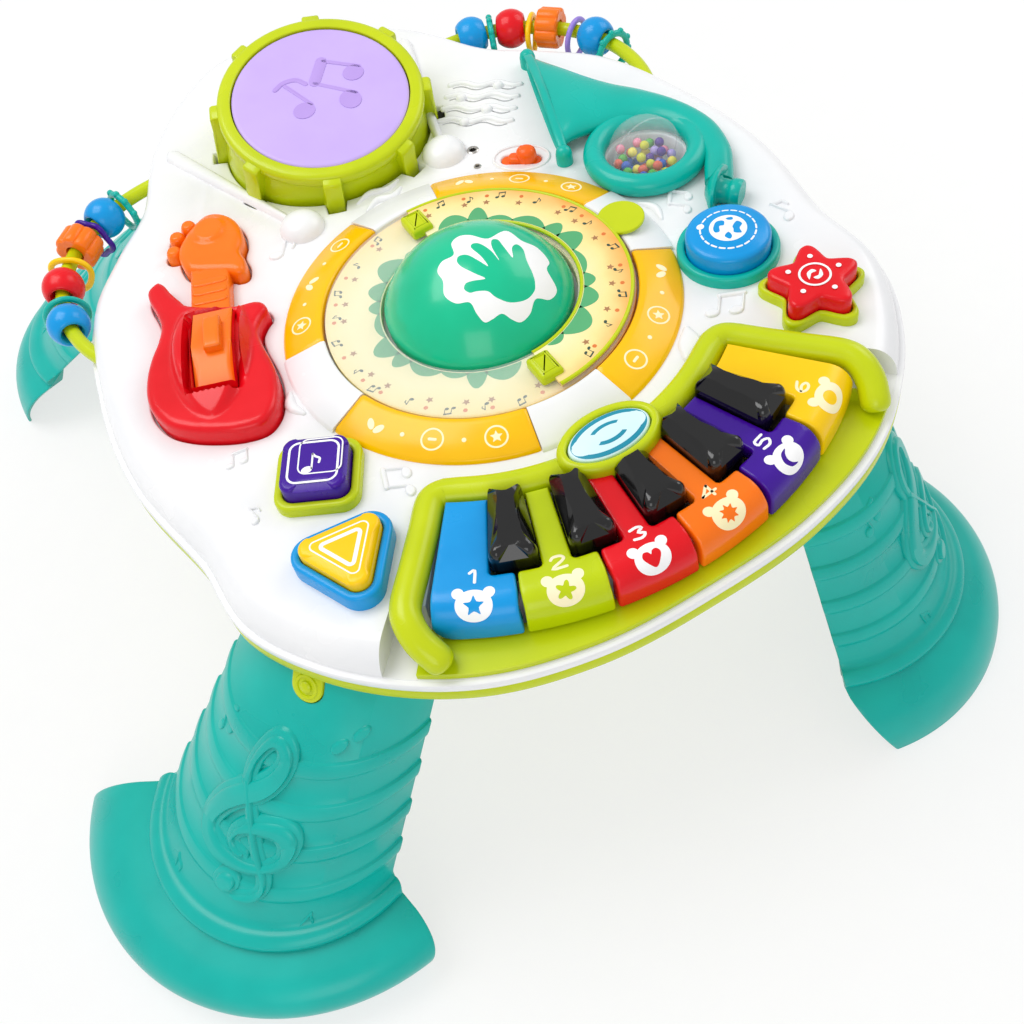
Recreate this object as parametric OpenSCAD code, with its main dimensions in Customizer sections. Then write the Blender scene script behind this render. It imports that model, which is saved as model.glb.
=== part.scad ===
// Musical activity table for a baby: a scalloped white panel on a lime tray
// with four splayed half-cone legs, and a drum, horn, guitar, keyboard,
// buttons, flip-page disc and two bead rails on top.
// Millimetres, +Z up, feet on z = 0, the keyboard faces -Y.

/* [Table] */
// Height of the panel's flat top above the floor
table_h = 200; // [170:1:240]
// Distance from the dome's centre to the rim at the keyboard
front_r = 196; // [192:1:204]
// Distance from the dome's centre to the front lobes' rim
lobe_r = 205; // [200:1:212]
// Distance from the dome's centre to the two side notches
notch_r = 187; // [182:1:192]
// Distance from the dome's centre to the rim at each side
side_r = 192; // [188:1:198]
// Distance from the dome's centre to the shoulders behind the sides
shoulder_r = 222; // [216:1:228]
// Distance from the dome's centre to the two back notches
neck_r = 231; // [226:1:236]
// Distance from the dome's centre to the rim behind the drum
back_r = 303; // [298:1:310]
// Thickness of the panel's top skin
skin_t = 3; // [2:0.5:4]
// Height of the rolled edge above the lip
roll_h = 16; // [13:0.5:18]
// Width of the rolled edge
roll_w = 15; // [12:0.5:17]
// Thickness of the lip round the panel
lip_t = 5; // [4:0.5:6]
// Thickness of the tray's band, plate and walls
tray_t = 2.5; // [2:0.5:3]
// Height of the tray's band below the lip
band_h = 7; // [6:0.5:9]
// Radius of the housing under the tray
pan_r = 140; // [125:1:146]
// Depth of the housing under the tray
pan_h = 20; // [19:0.5:24]
// How far the housing's centre lies behind the dome's centre
pan_y = 50; // [46:1:54]

/* [Legs] */
// Outer radius of a leg's shell at its top
leg_top_r = 50; // [47:0.5:51]
// Outer radius of a leg's shell above its foot
leg_low_r = 71; // [68:0.5:74]
// Half the angle that a leg's shell spans
leg_open = 76; // [70:1:84]
// Wall of a leg's shell
leg_t = 3; // [2.5:0.5:4]
// Height of a foot, up to the shell
foot_h = 41; // [38:1:48]
// Radius of a foot at the floor
foot_r = 102; // [98:1:108]
// How far the staff bands stand out
staff_out = 1.4; // [1:0.2:2]
// Height of each staff band
staff_h = 7; // [5:0.5:8]
// Radius of the snap tongue's round end
snap_r = 8; // [6:0.5:9]
// Play between a leg and the tray's socket
leg_play = 0.2; // [0.1:0.05:0.3]

/* [Disc and dome] */
// Outer radius of the ring of light covers
ring_r = 100; // [98:0.5:103]
// Outer radius of the picture disc
disc_r = 78; // [76:0.5:80]
// Height of the clear cover's top above the panel
disc_top = 8; // [7:0.5:9]
// Radius of the dome button
dome_r = 49; // [47:0.5:50]
// Height of the dome above the clear cover
dome_h = 38; // [34:1:42]
// Angle that each light cover spans
cover_span = 60; // [54:1:64]
// Thickness of a light cover
cover_t = 2.2; // [1.8:0.2:2.6]
// Thickness of the flip page
page_t = 2; // [1.6:0.2:2.4]
// Radius of the flip page's tab
tab_r = 12; // [10:0.5:13]

/* [Drum] */
// How far the drum's centre lies behind the dome's centre
drum_y = 170; // [166:1:174]
// Height of the drum skin's centre above the panel
drum_h = 31; // [30:0.5:35]
// Tilt of the drum towards the front
drum_tilt = 14; // [10:0.5:16]
// Radius of the drum's skin
skin_r = 50; // [48:0.5:51]
// Width of the drum's hoop
hoop_w = 8; // [7:0.5:9]
// Number of lugs round the drum
lugs = 8; // [6:1:10]
// Width of a lug
lug_w = 10; // [8:0.5:12]
// Press of the drum's skin
drum_press = 2.5; // [2:0.25:3]

/* [Keyboard] */
// Number of keys
keys = 6; // [5:1:6]
// Angle from one key to the next about the dome's centre
key_pitch = 12.3; // [12:0.1:12.4]
// Gap between two keys
key_gap = 1; // [0.8:0.1:1.4]
// Distance from the dome's centre to the back of the keys
key_back = 127; // [125:0.5:128]
// Distance from the dome's centre to the front of the keys
key_front = 186; // [184:0.5:187]
// Height of the keys' tops above the panel
key_top = 8; // [7:0.5:9]
// Depth of a key from its top to its front edge
key_d = 21; // [19:0.5:22]
// Radius of a key's rounded front
key_round = 11; // [8:0.5:13]
// Wall of a key
key_t = 2.5; // [2:0.25:3]
// Radius of the keyboard's tube
tube_r = 7; // [6:0.5:7.5]
// Distance from the dome's centre to the tube's middle
tube_at = 118.5; // [117:0.5:119]
// Length of a black key
black_l = 38; // [34:1:42]
// Width of a black key at its front
black_w = 21; // [17:0.5:22]
// Height of a black key
black_h = 8; // [6:0.5:10]

/* [Buttons] */
// Side of the square button
square_w = 31; // [28:0.5:33]
// Distance from the triangle button's centre to its corners' centres
tri_arm = 15; // [13:0.5:16]
// Radius of the round button
round_r = 21; // [19:0.5:22]
// Radius of the star button at its points
star_r = 22; // [20:0.5:23]
// Height of a button's cap above the panel
cap_h = 14; // [12:0.5:16]
// Height of a button's bezel above the panel
bezel_h = 6; // [5:0.5:7]
// Width of a bezel round its cap
bezel_w = 4.5; // [3.5:0.5:5]
// Play between a cap and its bezel
cap_play = 0.4; // [0.3:0.05:0.5]
// Press of a button
press = 2; // [1.5:0.25:2.5]

/* [Horn and guitar] */
// Radius of the horn ring's middle
horn_ring = 27.5; // [27:0.5:29]
// Radius of the horn ring's tube
horn_tube = 6; // [5.5:0.25:6.5]
// Radius of the clear rattle ball
ball_r = 20; // [18:0.5:20.5]
// Wall of the rattle ball
ball_t = 1.2; // [1:0.2:2]
// Radius of the loose beads in the rattle ball
loose_r = 2.3; // [2:0.1:2.4]
// Height of the guitar's body above the panel
guitar_h = 10; // [8:0.5:12]
// Radius of the guitar's arch
arch_r = 63; // [60:1:68]
// Height of the arch's top above the panel
arch_top = 18; // [17:0.5:20]
// Width of the guitar's slot
slot_w = 19; // [17:0.5:20]

/* [Bead rails] */
// Radius of a bead rail's arc
rail_arc = 84; // [80:0.5:88]
// Radius of a rail's tube
rail_r = 4; // [3.5:0.25:4.5]
// How far the rails lie below the panel's top
rail_drop = 11; // [10:0.5:11.5]
// Radius of the round beads
bead_r = 11.5; // [10:0.5:12]
// Length of the round beads
bead_l = 17; // [15:0.5:18]
// Radius of the ring beads
hoop_r = 13; // [12:0.5:13.5]
// Thickness of the ring beads
hoop_t = 4.5; // [4:0.5:5]
// Play between a bead and its rail
bead_play = 1.2; // [0.8:0.1:1.5]

/* [Hidden] */
$fn = 64;

// Heights in this file are measured from the panel's flat top, downwards < 0
lip_top = -roll_h;
lip_low = lip_top - lip_t;
band_low = lip_low - band_h;
pan_low = band_low - pan_h;
rim_n = 120;

// The rim's distance from the dome's centre at chosen angles, right half
rim_knots = [
  [270, front_r], [287, (front_r + lobe_r) / 2], [300, lobe_r],
  [311, lobe_r + 1], [322, lobe_r], [333, (lobe_r + notch_r) / 2 + 5],
  [346, notch_r], [364.5, side_r], [384, (side_r + shoulder_r) / 2 - 4],
  [400, shoulder_r - 3], [410, shoulder_r + 1], [420, neck_r],
  [430.6, (neck_r + back_r) / 2 - 2], [444, back_r - 2], [450, back_r]
];

function knot_slope(k, i) =
  i == 0 || i == len(k) - 1 ? 0
  : (k[i + 1][1] - k[i - 1][1]) / (k[i + 1][0] - k[i - 1][0]);

// Smooth curve through the knots of list k, at angle a within piece i
function knot_curve(k, i, a) =
  let (h = k[i + 1][0] - k[i][0], t = (a - k[i][0]) / h)
  (2 * t ^ 3 - 3 * t ^ 2 + 1) * k[i][1]
  + (t ^ 3 - 2 * t ^ 2 + t) * h * knot_slope(k, i)
  + (3 * t ^ 2 - 2 * t ^ 3) * k[i + 1][1]
  + (t ^ 3 - t ^ 2) * h * knot_slope(k, i + 1);

// The rim's distance at any angle from 0 to 360, the same left and right
function rim_r(a) =
  let (
    b = a < 90 ? a + 360 : a <= 270 ? 540 - a : a,
    last = len(rim_knots) - 2,
    i = max([for (j = [0:last]) if (rim_knots[j][0] <= b) j])
  )
  knot_curve(rim_knots, i, b);

function rim_ring(inset, z) = [
  for (i = [0:rim_n - 1])
    let (a = i * 360 / rim_n, r = rim_r(a) - inset)
    [r * cos(a), r * sin(a), z]
];

function flat(points) = [for (p = points) [p[0], p[1]]];

// Closed smooth outline through the points p, s steps from each to the next
function smooth(p, s = 4) =
  let (n = len(p))
  [
    for (i = [0:n - 1])
      for (k = [0:s - 1])
        let (
          t = k / s,
          a = p[(i + n - 1) % n],
          b = p[i],
          c = p[(i + 1) % n],
          d = p[(i + 2) % n]
        )
        0.5 * (2 * b + (c - a) * t + (2 * a - 5 * b + 4 * c - d) * t ^ 2
          + (3 * b - a - 3 * c + d) * t ^ 3)
  ];

function oval(w, d, n = 48) = [
  for (i = [0:n - 1]) [w * cos(i * 360 / n), d * sin(i * 360 / n)]
];

// Points on a circle about c, from angle a to angle b in n steps
function arc(c, r, a, b, n) = [
  for (i = [0:n])
    let (t = a + (b - a) * i / n)
    [c[0] + r * cos(t), c[1] + r * sin(t)]
];

// Solid through a list of rings with equal counts, each counter-clockwise.
// With open = true each ring is a C whose second half runs back inside its first
module loft(rings, open = false) {
  n = len(rings[0]);
  m = len(rings);
  points = [for (r = rings) for (p = r) p];
  sides = [
    for (j = [0:m - 2])
      for (i = [0:n - 1])
        let (
          a = j * n + i,
          b = j * n + (i + 1) % n,
          c = b + n,
          d = a + n
        )
        each [[a, d, c], [a, c, b]]
  ];
  cap = open
    ? [for (i = [0:n / 2 - 2]) [i, i + 1, n - 2 - i, n - 1 - i]]
    : [[for (i = [0:n - 1]) i]];
  low = cap;
  high = [for (f = cap) [for (i = [len(f) - 1:-1:0]) f[i] + (m - 1) * n]];
  polyhedron(points, concat(low, sides, high), convexity = 6);
}

// Each leg's centre at its top and above its foot, the centre and radius of
// its skirt's edge on the floor, and the way it faces, from the dome's centre
leg_tops = [[-117, -92], [92, -105], [-70, 183], [70, 183]];
leg_feet = [[-199, -97], [108, -137], [-138, 304], [138, 304]];
foot_mids = [[-190, -68.5], [108, -137], [-138, 304], [138, 304]];
foot_rs = [foot_r + 23, foot_r, foot_r, foot_r];
leg_turns = [212, 318.5, 119.3, 60.7];

// The dome's centre, seen from the middle of the floor under the feet
dome_x = -(foot_mids[0][0] - foot_rs[0] + foot_mids[3][0] + foot_rs[3]) / 2;
dome_y = -(foot_mids[1][1] - foot_rs[1] + foot_mids[3][1] + foot_rs[3]) / 2;

// Everything on the table is placed from the dome's centre at the panel's top
module on_top() {
  translate([dome_x, dome_y, table_h])
    children();
}

// A block of the ring between two radii and two heights, from angle a to b
module sector(r1, r2, z1, z2, a, b) {
  rotate([0, 0, a])
    rotate_extrude(angle = b - a, $fn = 96)
      polygon([[r1, z1], [r2, z1], [r2, z2], [r1, z2]]);
}

// A round rod from p to q with a ball on its first end
module rod(p, q, r) {
  v = q - p;
  l = norm(v);
  translate(p)
    rotate([0, acos(v[2] / l), atan2(v[1], v[0])])
      cylinder(r = r, h = l, $fn = 32);
  translate(p)
    sphere(r = r + 0.3, $fn = 32);
}

/* Panel and tray */

well_half = keys * key_pitch / 2 + 1;
well_back = key_back - 1.5;
well_low = lip_top + 0.3;
tube_z = 3;
tube_side = well_half + 2.4;
tube_out = tube_side + (tube_r + 1) / key_front * 180 / PI;
disc_low = 6.2;
cover_in = disc_r + 1.3;
cover_mid = [46, 134, 226, 314];

function piano_point(r, a, z) = [r * cos(a - 90), r * sin(a - 90), z];

// The keyboard's side tube, from its corner to its end on the rim
tube_ends = [
  [key_front - 8, tube_side, tube_z],
  [key_front, tube_side - 0.7, tube_z - 1.5],
  [key_front + 7, tube_side - 2.2, tube_z - 5.5],
  [key_front + 11, tube_side - 4.2, tube_z - 11]
];

// A ring of n points about p, facing along the direction d
function tube_ring(p, d, r, n = 12) =
  let (h = norm([d[0], d[1]]), u = [-d[1] / h, d[0] / h, 0], v = cross(d, u) / norm(d))
  [for (i = [0:n - 1]) p + r * (cos(i * 360 / n) * u + sin(i * 360 / n) * v)];

module tube_bends() {
  for (s = [-1, 1]) {
    p = [for (e = tube_ends) piano_point(e[0], s * e[1], e[2])];
    last = len(p) - 1;
    loft([
      for (i = [0:last])
        tube_ring(p[i], p[min(i + 1, last)] - p[max(i - 1, 0)], i == last ? tube_r - 1 : tube_r + 0.3)
    ]);
  }
}

// Places its child at one rail's centre, s = -1 on the left, 1 on the right
rail_x = 96;
rail_y = back_r - 165;
rail_from = -31;
rail_to = 94;

module at_rail(s) {
  translate([s * rail_x, rail_y, -rail_drop])
    mirror([s < 0 ? 1 : 0, 0, 0])
      children();
}

module rail_rod(play) {
  rotate([0, 0, rail_from])
    rotate_extrude(angle = rail_to - rail_from, $fn = 128)
      translate([rail_arc, 0])
        circle(r = rail_r + play, $fn = 32);
}

screw_at = [for (a = [-15, 21, 81, 165, 200, 261]) [160 * cos(a), pan_y + 160 * sin(a)]];
screw_r = 1.5;
screw_l = 14;

grille_at = [81, 141];
grille_turn = -40;
jack_at = [58, 109];
jack_r = 1.8;
mic_at = [53, 95];
mic_r = 1;
knob_at = [75, 84.5];
knob_turn = -38;
knob_l = 15;
knob_w = 9;
stem_w = 5;
knob_way = 4.5;
horn_at = [126.9, 39.6];
ball_z = 4;

function roll_at(t, in, down) = [
  roll_w - (roll_w - 3 - in) * cos(t),
  -roll_h + (roll_h - down) * sin(t)
];

panel_inside = [for (t = [90, 60, 30, 0]) roll_at(t, 2.5, skin_t)];
panel_outside = [for (t = [0:22.5:90]) roll_at(t, 0, 0)];
panel_profile = concat(
  panel_inside, [[5.5, lip_low], [0, lip_low], [0, lip_top]], panel_outside
);

module wave_slot(l) {
  linear_extrude(3 * skin_t, center = true)
    polygon(concat(
      [for (i = [0:12]) [-l / 2 + l * i / 12, 1 + 1.6 * sin(i * 60)]],
      [for (i = [12:-1:0]) [-l / 2 + l * i / 12, -1 + 1.6 * sin(i * 60)]]
    ));
}

module top_panel() {
  color("white")
    on_top() {
      difference() {
        union() {
          loft([for (p = panel_profile) rim_ring(p[0], p[1])]);
          intersection() {
            translate([0, 0, well_low - skin_t])
              linear_extrude(skin_t + 0.7)
                polygon(flat(rim_ring(4, 0)));
            sector(well_back - skin_t, back_r, well_low - 10, 10, 269 - tube_out, 271 + tube_out);
          }
          sector(well_back - skin_t + 0.4, well_back + 1, well_low - 1, -1, 269.4 - well_half, 270.6 + well_half);
          for (s = [-1, 1]) {
            sector(
              well_back - 1, tube_ends[0][0], well_low - 1.2, -1.2,
              270 + s * well_half - 1, 270 + s * well_half + 1
            );
            sector(
              tube_ends[0][0] - 4, key_front + 3, well_low - 1.4, -1.4,
              270 + s * (well_half + tube_out) / 2 - (tube_out - well_half) / 2 - 0.8,
              270 + s * (well_half + tube_out) / 2 + (tube_out - well_half) / 2 + 0.8
            );
          }
          for (p = screw_at)
            translate([p[0], p[1], lip_low - band_h + tray_t])
              cylinder(r = 4.5, h = band_h + lip_t + roll_h - tray_t - 1, $fn = 32);
        }
        translate([0, 0, well_low])
          linear_extrude(40)
            polygon(concat(
              arc([0, 0], back_r, 270 - tube_out, 270 + tube_out, 8),
              arc([0, 0], tube_ends[0][0] - 2, 270 + tube_out, 270 + well_half, 2),
              arc([0, 0], well_back, 270 + well_half, 270 - well_half, 24),
              arc([0, 0], tube_ends[0][0] - 2, 270 - well_half, 270 - tube_out, 2)
            ));
        for (s = [-1, 1])
          at_rail(s)
            rail_rod(0.15);
        for (p = screw_at)
          translate([p[0], p[1], pan_low])
            cylinder(r = screw_r + 0.05, h = screw_l + pan_h, $fn = 24);
        translate([horn_at[0], horn_at[1], -20])
          cylinder(r = ball_r + 1.3, h = 40);
        translate([jack_at[0], jack_at[1], -20])
          cylinder(r = jack_r, h = 40, $fn = 32);
        translate([mic_at[0], mic_at[1], -20])
          cylinder(r = mic_r, h = 40, $fn = 24);
        translate([knob_at[0], knob_at[1], 0])
          rotate([0, 0, knob_turn])
            cube([knob_l + 2 * knob_way - 4, stem_w + 1, 4 * skin_t], center = true);
        translate([grille_at[0], grille_at[1], 0])
          rotate([0, 0, grille_turn])
            for (i = [-1.5:1.5])
              translate([0, i * 11, 0])
                wave_slot(38);
      }
      for (i = [0:3])
        light_ring(cover_mid[i] + cover_span / 2 + 0.3, cover_mid[(i + 1) % 4] - cover_span / 2 - 0.3);
    }
}

// The low slope round the disc, from angle a to angle b
module light_ring(a, b) {
  turn = b < a ? b + 360 : b;
  rotate([0, 0, a])
    rotate_extrude(angle = turn - a, $fn = 128)
      polygon([
        [cover_in, 0], [ring_r + 1, 0], [ring_r, 1.5], [cover_in + 2, disc_top],
        [cover_in, disc_top]
      ]);
}

module light_covers() {
  color("gold")
    on_top()
      for (a = cover_mid)
        rotate([0, 0, a - cover_span / 2])
          rotate_extrude(angle = cover_span, $fn = 128)
            polygon([
              [cover_in, 0], [cover_in, disc_top], [cover_in + 2, disc_top],
              [ring_r, 1.5], [ring_r + 1, 0], [ring_r - cover_t, 0],
              [ring_r - cover_t, 0.5], [cover_in + cover_t, disc_top - cover_t],
              [cover_in + cover_t, 0]
            ]);
}

/* Legs */

leg_fall = table_h + band_low - foot_h;
leg_steps = 16;
skirt_h = foot_h - 6;
shoulder_t = 5;
roll_out = 6;
roll_top = shoulder_t + 0.1;
staff_n = 5;

// A step across the floor, seen along leg i's own direction
function leg_own(i, w) =
  let (a = leg_turns[i])
  [w[0] * cos(a) + w[1] * sin(a), w[1] * cos(a) - w[0] * sin(a)];

function leg_way(i) = leg_own(i, leg_feet[i] - leg_tops[i]);
function leg_lean(i) = atan((leg_way(i)[0] + leg_low_r - leg_top_r) / leg_fall);

function leg_r(d) =
  leg_top_r + (leg_low_r - leg_top_r) * min(d, leg_fall) / leg_fall;

// The middle of leg i's section at depth d, its skirt leading to the floor edge
function leg_mid(i, d) =
  leg_way(i) * min(d, leg_fall) / leg_fall
  + leg_own(i, foot_mids[i] - leg_feet[i])
    * max(0, d - leg_fall - foot_h + skirt_h) / skirt_h;

// Closed section of leg i's shell at depth d: outer arc, then inner arc back
function leg_ring(i, d, out, in, half) =
  let (r = leg_r(d), c = leg_mid(i, d))
  [
    for (p = concat(
      arc(c, r + out, -half, half, leg_steps),
      arc(c, r - in, half, -half, leg_steps)
    ))
      [p[0], p[1], -d]
  ];

function reversed(l) = [for (i = [len(l) - 1:-1:0]) l[i]];

// How far leg i's skirt stands out at height z above the floor
function skirt_out(i, z) =
  roll_out + (foot_rs[i] - leg_low_r - roll_out) * sqrt(1 - (z / skirt_h) ^ 2);

// Depth, outward step and wall of leg i's shell: staff bands, then the rolled
// shoulder, then the skirt that curves out and down to the floor
function leg_cuts(i) = concat(
  [[0, 0, leg_t]],
  [
    for (i = [1:staff_n])
      let (d = i * leg_fall / (staff_n + 1) - staff_h / 2)
      each [
        [d, 0, leg_t],
        [d + 1, staff_out, leg_t],
        [d + staff_h, staff_out, leg_t],
        [d + staff_h + 1, 0, leg_t]
      ]
  ],
  [[leg_fall - roll_top + 0.6, 0, leg_t]],
  [
    for (t = [100:-30:-50])
      [leg_fall + 1 - shoulder_t * sin(t), 3 + shoulder_t * cos(t), leg_t]
  ],
  [
    for (t = [15, 35, 55, 72, 90])
      let (z = skirt_h * cos(t))
      [
        leg_fall + foot_h - z,
        skirt_out(i, z),
        z + leg_t > skirt_h ? leg_t : 2 - skirt_out(i, z + leg_t)
      ]
  ]
);

module leg_place(i) {
  on_top()
    translate([leg_tops[i][0], leg_tops[i][1], band_low])
      rotate([0, 0, leg_turns[i]])
        children();
}

snap_d = 9;

// The round end of the tray's snap tongue, grown by play for its notch
module tongue(i, play, low, high) {
  translate([leg_r(snap_d) + leg_mid(i, snap_d)[0], leg_mid(i, snap_d)[1], -snap_d])
    rotate([0, 90 - leg_lean(i), 0]) {
      translate([0, 0, low])
        cylinder(r = snap_r + play, h = high - low, $fn = 48);
      translate([-3 * snap_r, -snap_r - play, low])
        cube([3 * snap_r, 2 * snap_r + 2 * play, high - low]);
    }
}

module leg(i) {
  color("lightseagreen")
    leg_place(i)
      difference() {
        loft(reversed([
          for (c = leg_cuts(i))
            leg_ring(i, c[0], c[1], c[2], leg_open)
        ]), true);
        tongue(i, 0.5, -8, 8);
      }
}

module base_tray() {
  color("yellowgreen") {
    on_top()
      difference() {
        union() {
          difference() {
            translate([0, 0, band_low])
              linear_extrude(band_h)
                polygon(flat(rim_ring(1.5, 0)));
            translate([0, 0, band_low + tray_t])
              linear_extrude(band_h)
                polygon(flat(rim_ring(1.5 + tray_t, 0)));
            translate([0, pan_y, band_low - 1])
              cylinder(r = pan_r - tray_t, h = band_h, $fn = 128);
          }
          translate([0, pan_y, pan_low])
            difference() {
              cylinder(r = pan_r, h = pan_h + 1, $fn = 128);
              translate([0, 0, tray_t])
                cylinder(r = pan_r - tray_t, h = pan_h + 2, $fn = 128);
            }
          translate([0, pan_y, pan_low + tray_t])
            difference() {
              translate([-bay_l / 2 - 2, -bay_w / 2 - 2, -1])
                cube([bay_l + 4, bay_w + 4, 16]);
              translate([-bay_l / 2, -bay_w / 2, -1])
                cube([bay_l, bay_w, 17]);
            }
        }
        translate([-bay_l / 2, pan_y - bay_w / 2, pan_low - 1])
          cube([bay_l, bay_w, tray_t + 2]);
        for (p = screw_at)
          translate([p[0], p[1], pan_low])
            cylinder(r = screw_r + 0.05, h = 2 * pan_h, $fn = 24);
      }
    for (i = [0:3])
      leg_place(i) {
        loft(reversed([
          for (d = [-1, socket_d])
            leg_ring(i, d, -leg_t - leg_play, leg_t + leg_play + tray_t, leg_open - 8)
        ]), true);
        difference() {
          tongue(i, 0, -leg_t - leg_play - 1.6, 1);
          translate([0, -50, 1])
            cube([100, 100, 60]);
        }
      }
  }
}

socket_d = 24;
bay_l = 62;
bay_w = 50;
cell_r = 7.2;
cell_l = 50;

/* Disc, dome and flip page */

disc_in = dome_r + 0.5;
page_z = disc_top + 0.3;
hinge_z = page_z + 1.9;
page_in = disc_in + 1.5;
page_out = disc_r - 1;
clip_r = 6;
clip_y1 = page_in + 4;
clip_y2 = page_out - 5;
hinge_r = 1.5;
tab_at = page_out + 8;

module picture_disc() {
  color("khaki")
    on_top()
      sector(disc_in, disc_r, 0, disc_low, 0, 360);
}

module disc_cover() {
  color("aliceblue", 0.4)
    on_top()
      sector(disc_in, disc_r, disc_low + 0.3, disc_top, 0, 360);
}

module hinge_clips() {
  color("yellowgreen")
    on_top()
      for (s = [-1, 1])
        difference() {
          translate([0, s * (clip_y1 + clip_y2) / 2, disc_top])
            hull() {
              translate([-clip_r, -(clip_y2 - clip_y1) / 2, 0])
                cube([2 * clip_r, clip_y2 - clip_y1, hinge_z - disc_top + 1]);
              translate([1.5 - clip_r, 1.5 - (clip_y2 - clip_y1) / 2, 0])
                cube([2 * clip_r - 3, clip_y2 - clip_y1 - 3, hinge_z - disc_top + 3]);
            }
          translate([0, s * clip_y1 - s * 5, hinge_z])
            rotate([-90 * s, 0, 0])
              cylinder(r = hinge_r + 0.1, h = 40, $fn = 32);
        }
}

module flip_page() {
  color("khaki")
    on_top() {
      difference() {
        union() {
          sector(page_in, page_out, page_z, page_z + page_t, -90, 90);
          difference() {
            translate([tab_at, 0, page_z])
              cylinder(r = tab_r, h = page_t);
            translate([0, 0, page_z - 1])
              cylinder(r = page_out - 1, h = page_t + 2, $fn = 96);
          }
        }
        for (s = [-1, 1])
          translate([-1, s * (clip_y1 + clip_y2) / 2 - (clip_y2 - clip_y1) / 2 - 0.3, page_z - 1])
            cube([clip_r + 1.6, clip_y2 - clip_y1 + 0.6, page_t + 2]);
      }
      for (s = [-1, 1])
        translate([0, s * (page_in + 1.5), hinge_z])
          rotate([-90 * s, 0, 0])
            cylinder(r = hinge_r, h = page_out - page_in - 3, $fn = 32);
    }
}

dome_ball = (dome_r ^ 2 + dome_h ^ 2) / (2 * dome_h);

module dome_button() {
  color("mediumseagreen")
    on_top()
      difference() {
        union() {
          intersection() {
            translate([0, 0, disc_top + dome_h - dome_ball])
              sphere(r = dome_ball, $fn = 128);
            translate([0, 0, disc_top])
              cylinder(r = 2 * dome_r, h = 2 * dome_h);
          }
          translate([0, 0, press + 0.3])
            cylinder(r = dome_r, h = disc_top - press, $fn = 128);
        }
        intersection() {
          translate([0, 0, disc_top + dome_h - dome_ball])
            sphere(r = dome_ball - 3, $fn = 128);
          cylinder(r = dome_r - 3, h = 2 * dome_h, $fn = 128);
        }
      }
}

/* Drum */

hoop_out = skin_r + hoop_w;
skin_t2 = 3;
skin_play = 0.4;

module at_drum() {
  translate([0, drum_y, drum_h])
    rotate([drum_tilt, 0, 0])
      children();
}

module drum_shell() {
  ledge = -skin_t2 - drum_press - 0.3;
  color("yellowgreen")
    on_top()
      difference() {
        at_drum() {
          rotate_extrude($fn = 128)
            polygon(concat(
              [[skin_r, 0.5]],
              arc([hoop_out - 3, -0.5], 3, 90, -20, 5),
              [
                [hoop_out - 0.5, -7], [hoop_out - 3, -9], [hoop_out - 2, -18],
                [hoop_out + 1, -34], [hoop_out + 2, -62], [hoop_out - 2, -62],
                [hoop_out - 5, -34], [hoop_out - 6, ledge - 4], [skin_r - 3, ledge - 2],
                [skin_r - 3, ledge], [skin_r, ledge]
              ]
            ));
          for (i = [0:lugs - 1])
            rotate([0, 0, (i + 0.5) * 360 / lugs])
              translate([0, lug_w / 2, 0])
                rotate([90, 0, 0])
                  linear_extrude(lug_w)
                    polygon([
                      [hoop_out - 3, -3], [hoop_out + 3, -3], [hoop_out + 4.5, -6],
                      [hoop_out + 4.5, -14], [hoop_out + 7, -34], [hoop_out + 8, -62],
                      [hoop_out, -62], [hoop_out - 3, -12]
                    ]);
        }
        translate([0, drum_y, -100])
          cylinder(r = 3 * skin_r, h = 100);
      }
}

module drum_skin() {
  color("plum")
    on_top()
      at_drum()
        translate([0, 0, -skin_t2])
          rotate_extrude($fn = 128)
            polygon(concat(
              [[0, 0], [skin_r - skin_play, 0]],
              arc([skin_r - skin_play - 1.5, skin_t2 - 1.5], 1.5, 0, 90, 4),
              [[0, skin_t2]]
            ));
}

/* Horn and rattle ball */

// Along the horn: place, half width, height, direction of travel
horn_path = [
  [107, 110, 45, 14, -19], [111, 104, 37, 15, -24], [118, 93, 27, 16, -36],
  [129, 83, 19, 15, -44], [141, 73, 14, 14, -50], [152, 59, 10, 13, -62],
  [158, 44, 8.5, 12, -76], [159, 30, 8, 11.5, -92], [155, 14, 7.5, 11, -108],
  [148, 3, 7.5, 11, -122], [141, -7, 7.5, 11, -128]
];

function horn_ring_at(p, k) = [
  for (i = [0:15])
    let (a = i * 22.5, w = k * p[2] * cos(a), h = p[3] / 2 + k * p[3] / 2 * sin(a))
    [p[0] - w * sin(p[4]), p[1] + w * cos(p[4]), h]
];

horn_pin = 2;

module horn() {
  color("lightseagreen")
    on_top() {
      difference() {
        union() {
          difference() {
            loft([for (p = horn_path) horn_ring_at(p, 1)]);
            loft([
              for (i = [0:3])
                let (p = horn_path[i])
                horn_ring_at([p[0] + (i == 0 ? -1 : 0), p[1], p[2], p[3], p[4]], 0.82 - 0.06 * i)
            ]);
          }
          translate([horn_at[0], horn_at[1], ball_z + 1])
            rotate_extrude($fn = 96)
              translate([horn_ring, 0])
                circle(r = horn_tube, $fn = 32);
          translate([137, -11, 5.5])
            rotate([90, 0, 35])
              cylinder(r = 13, h = 3.5, center = true);
          translate([136, -9, 5.5])
            rotate([90, 0, 35])
              cylinder(r1 = 6, r2 = 7.5, h = 15);
        }
        translate([horn_at[0], horn_at[1], ball_z])
          cylinder(r = horn_ring - horn_tube - 0.3, h = 60, center = true);
        translate([horn_at[0], horn_at[1], ball_z])
          rotate([90, 0, 0])
            cylinder(r = horn_pin + 0.1, h = 2 * horn_ring, center = true, $fn = 32);
        translate([0, 0, -100])
          cylinder(r = 400, h = 100);
      }
    }
}

loose_at = ball_r - ball_t - loose_r - 0.2;

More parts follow.
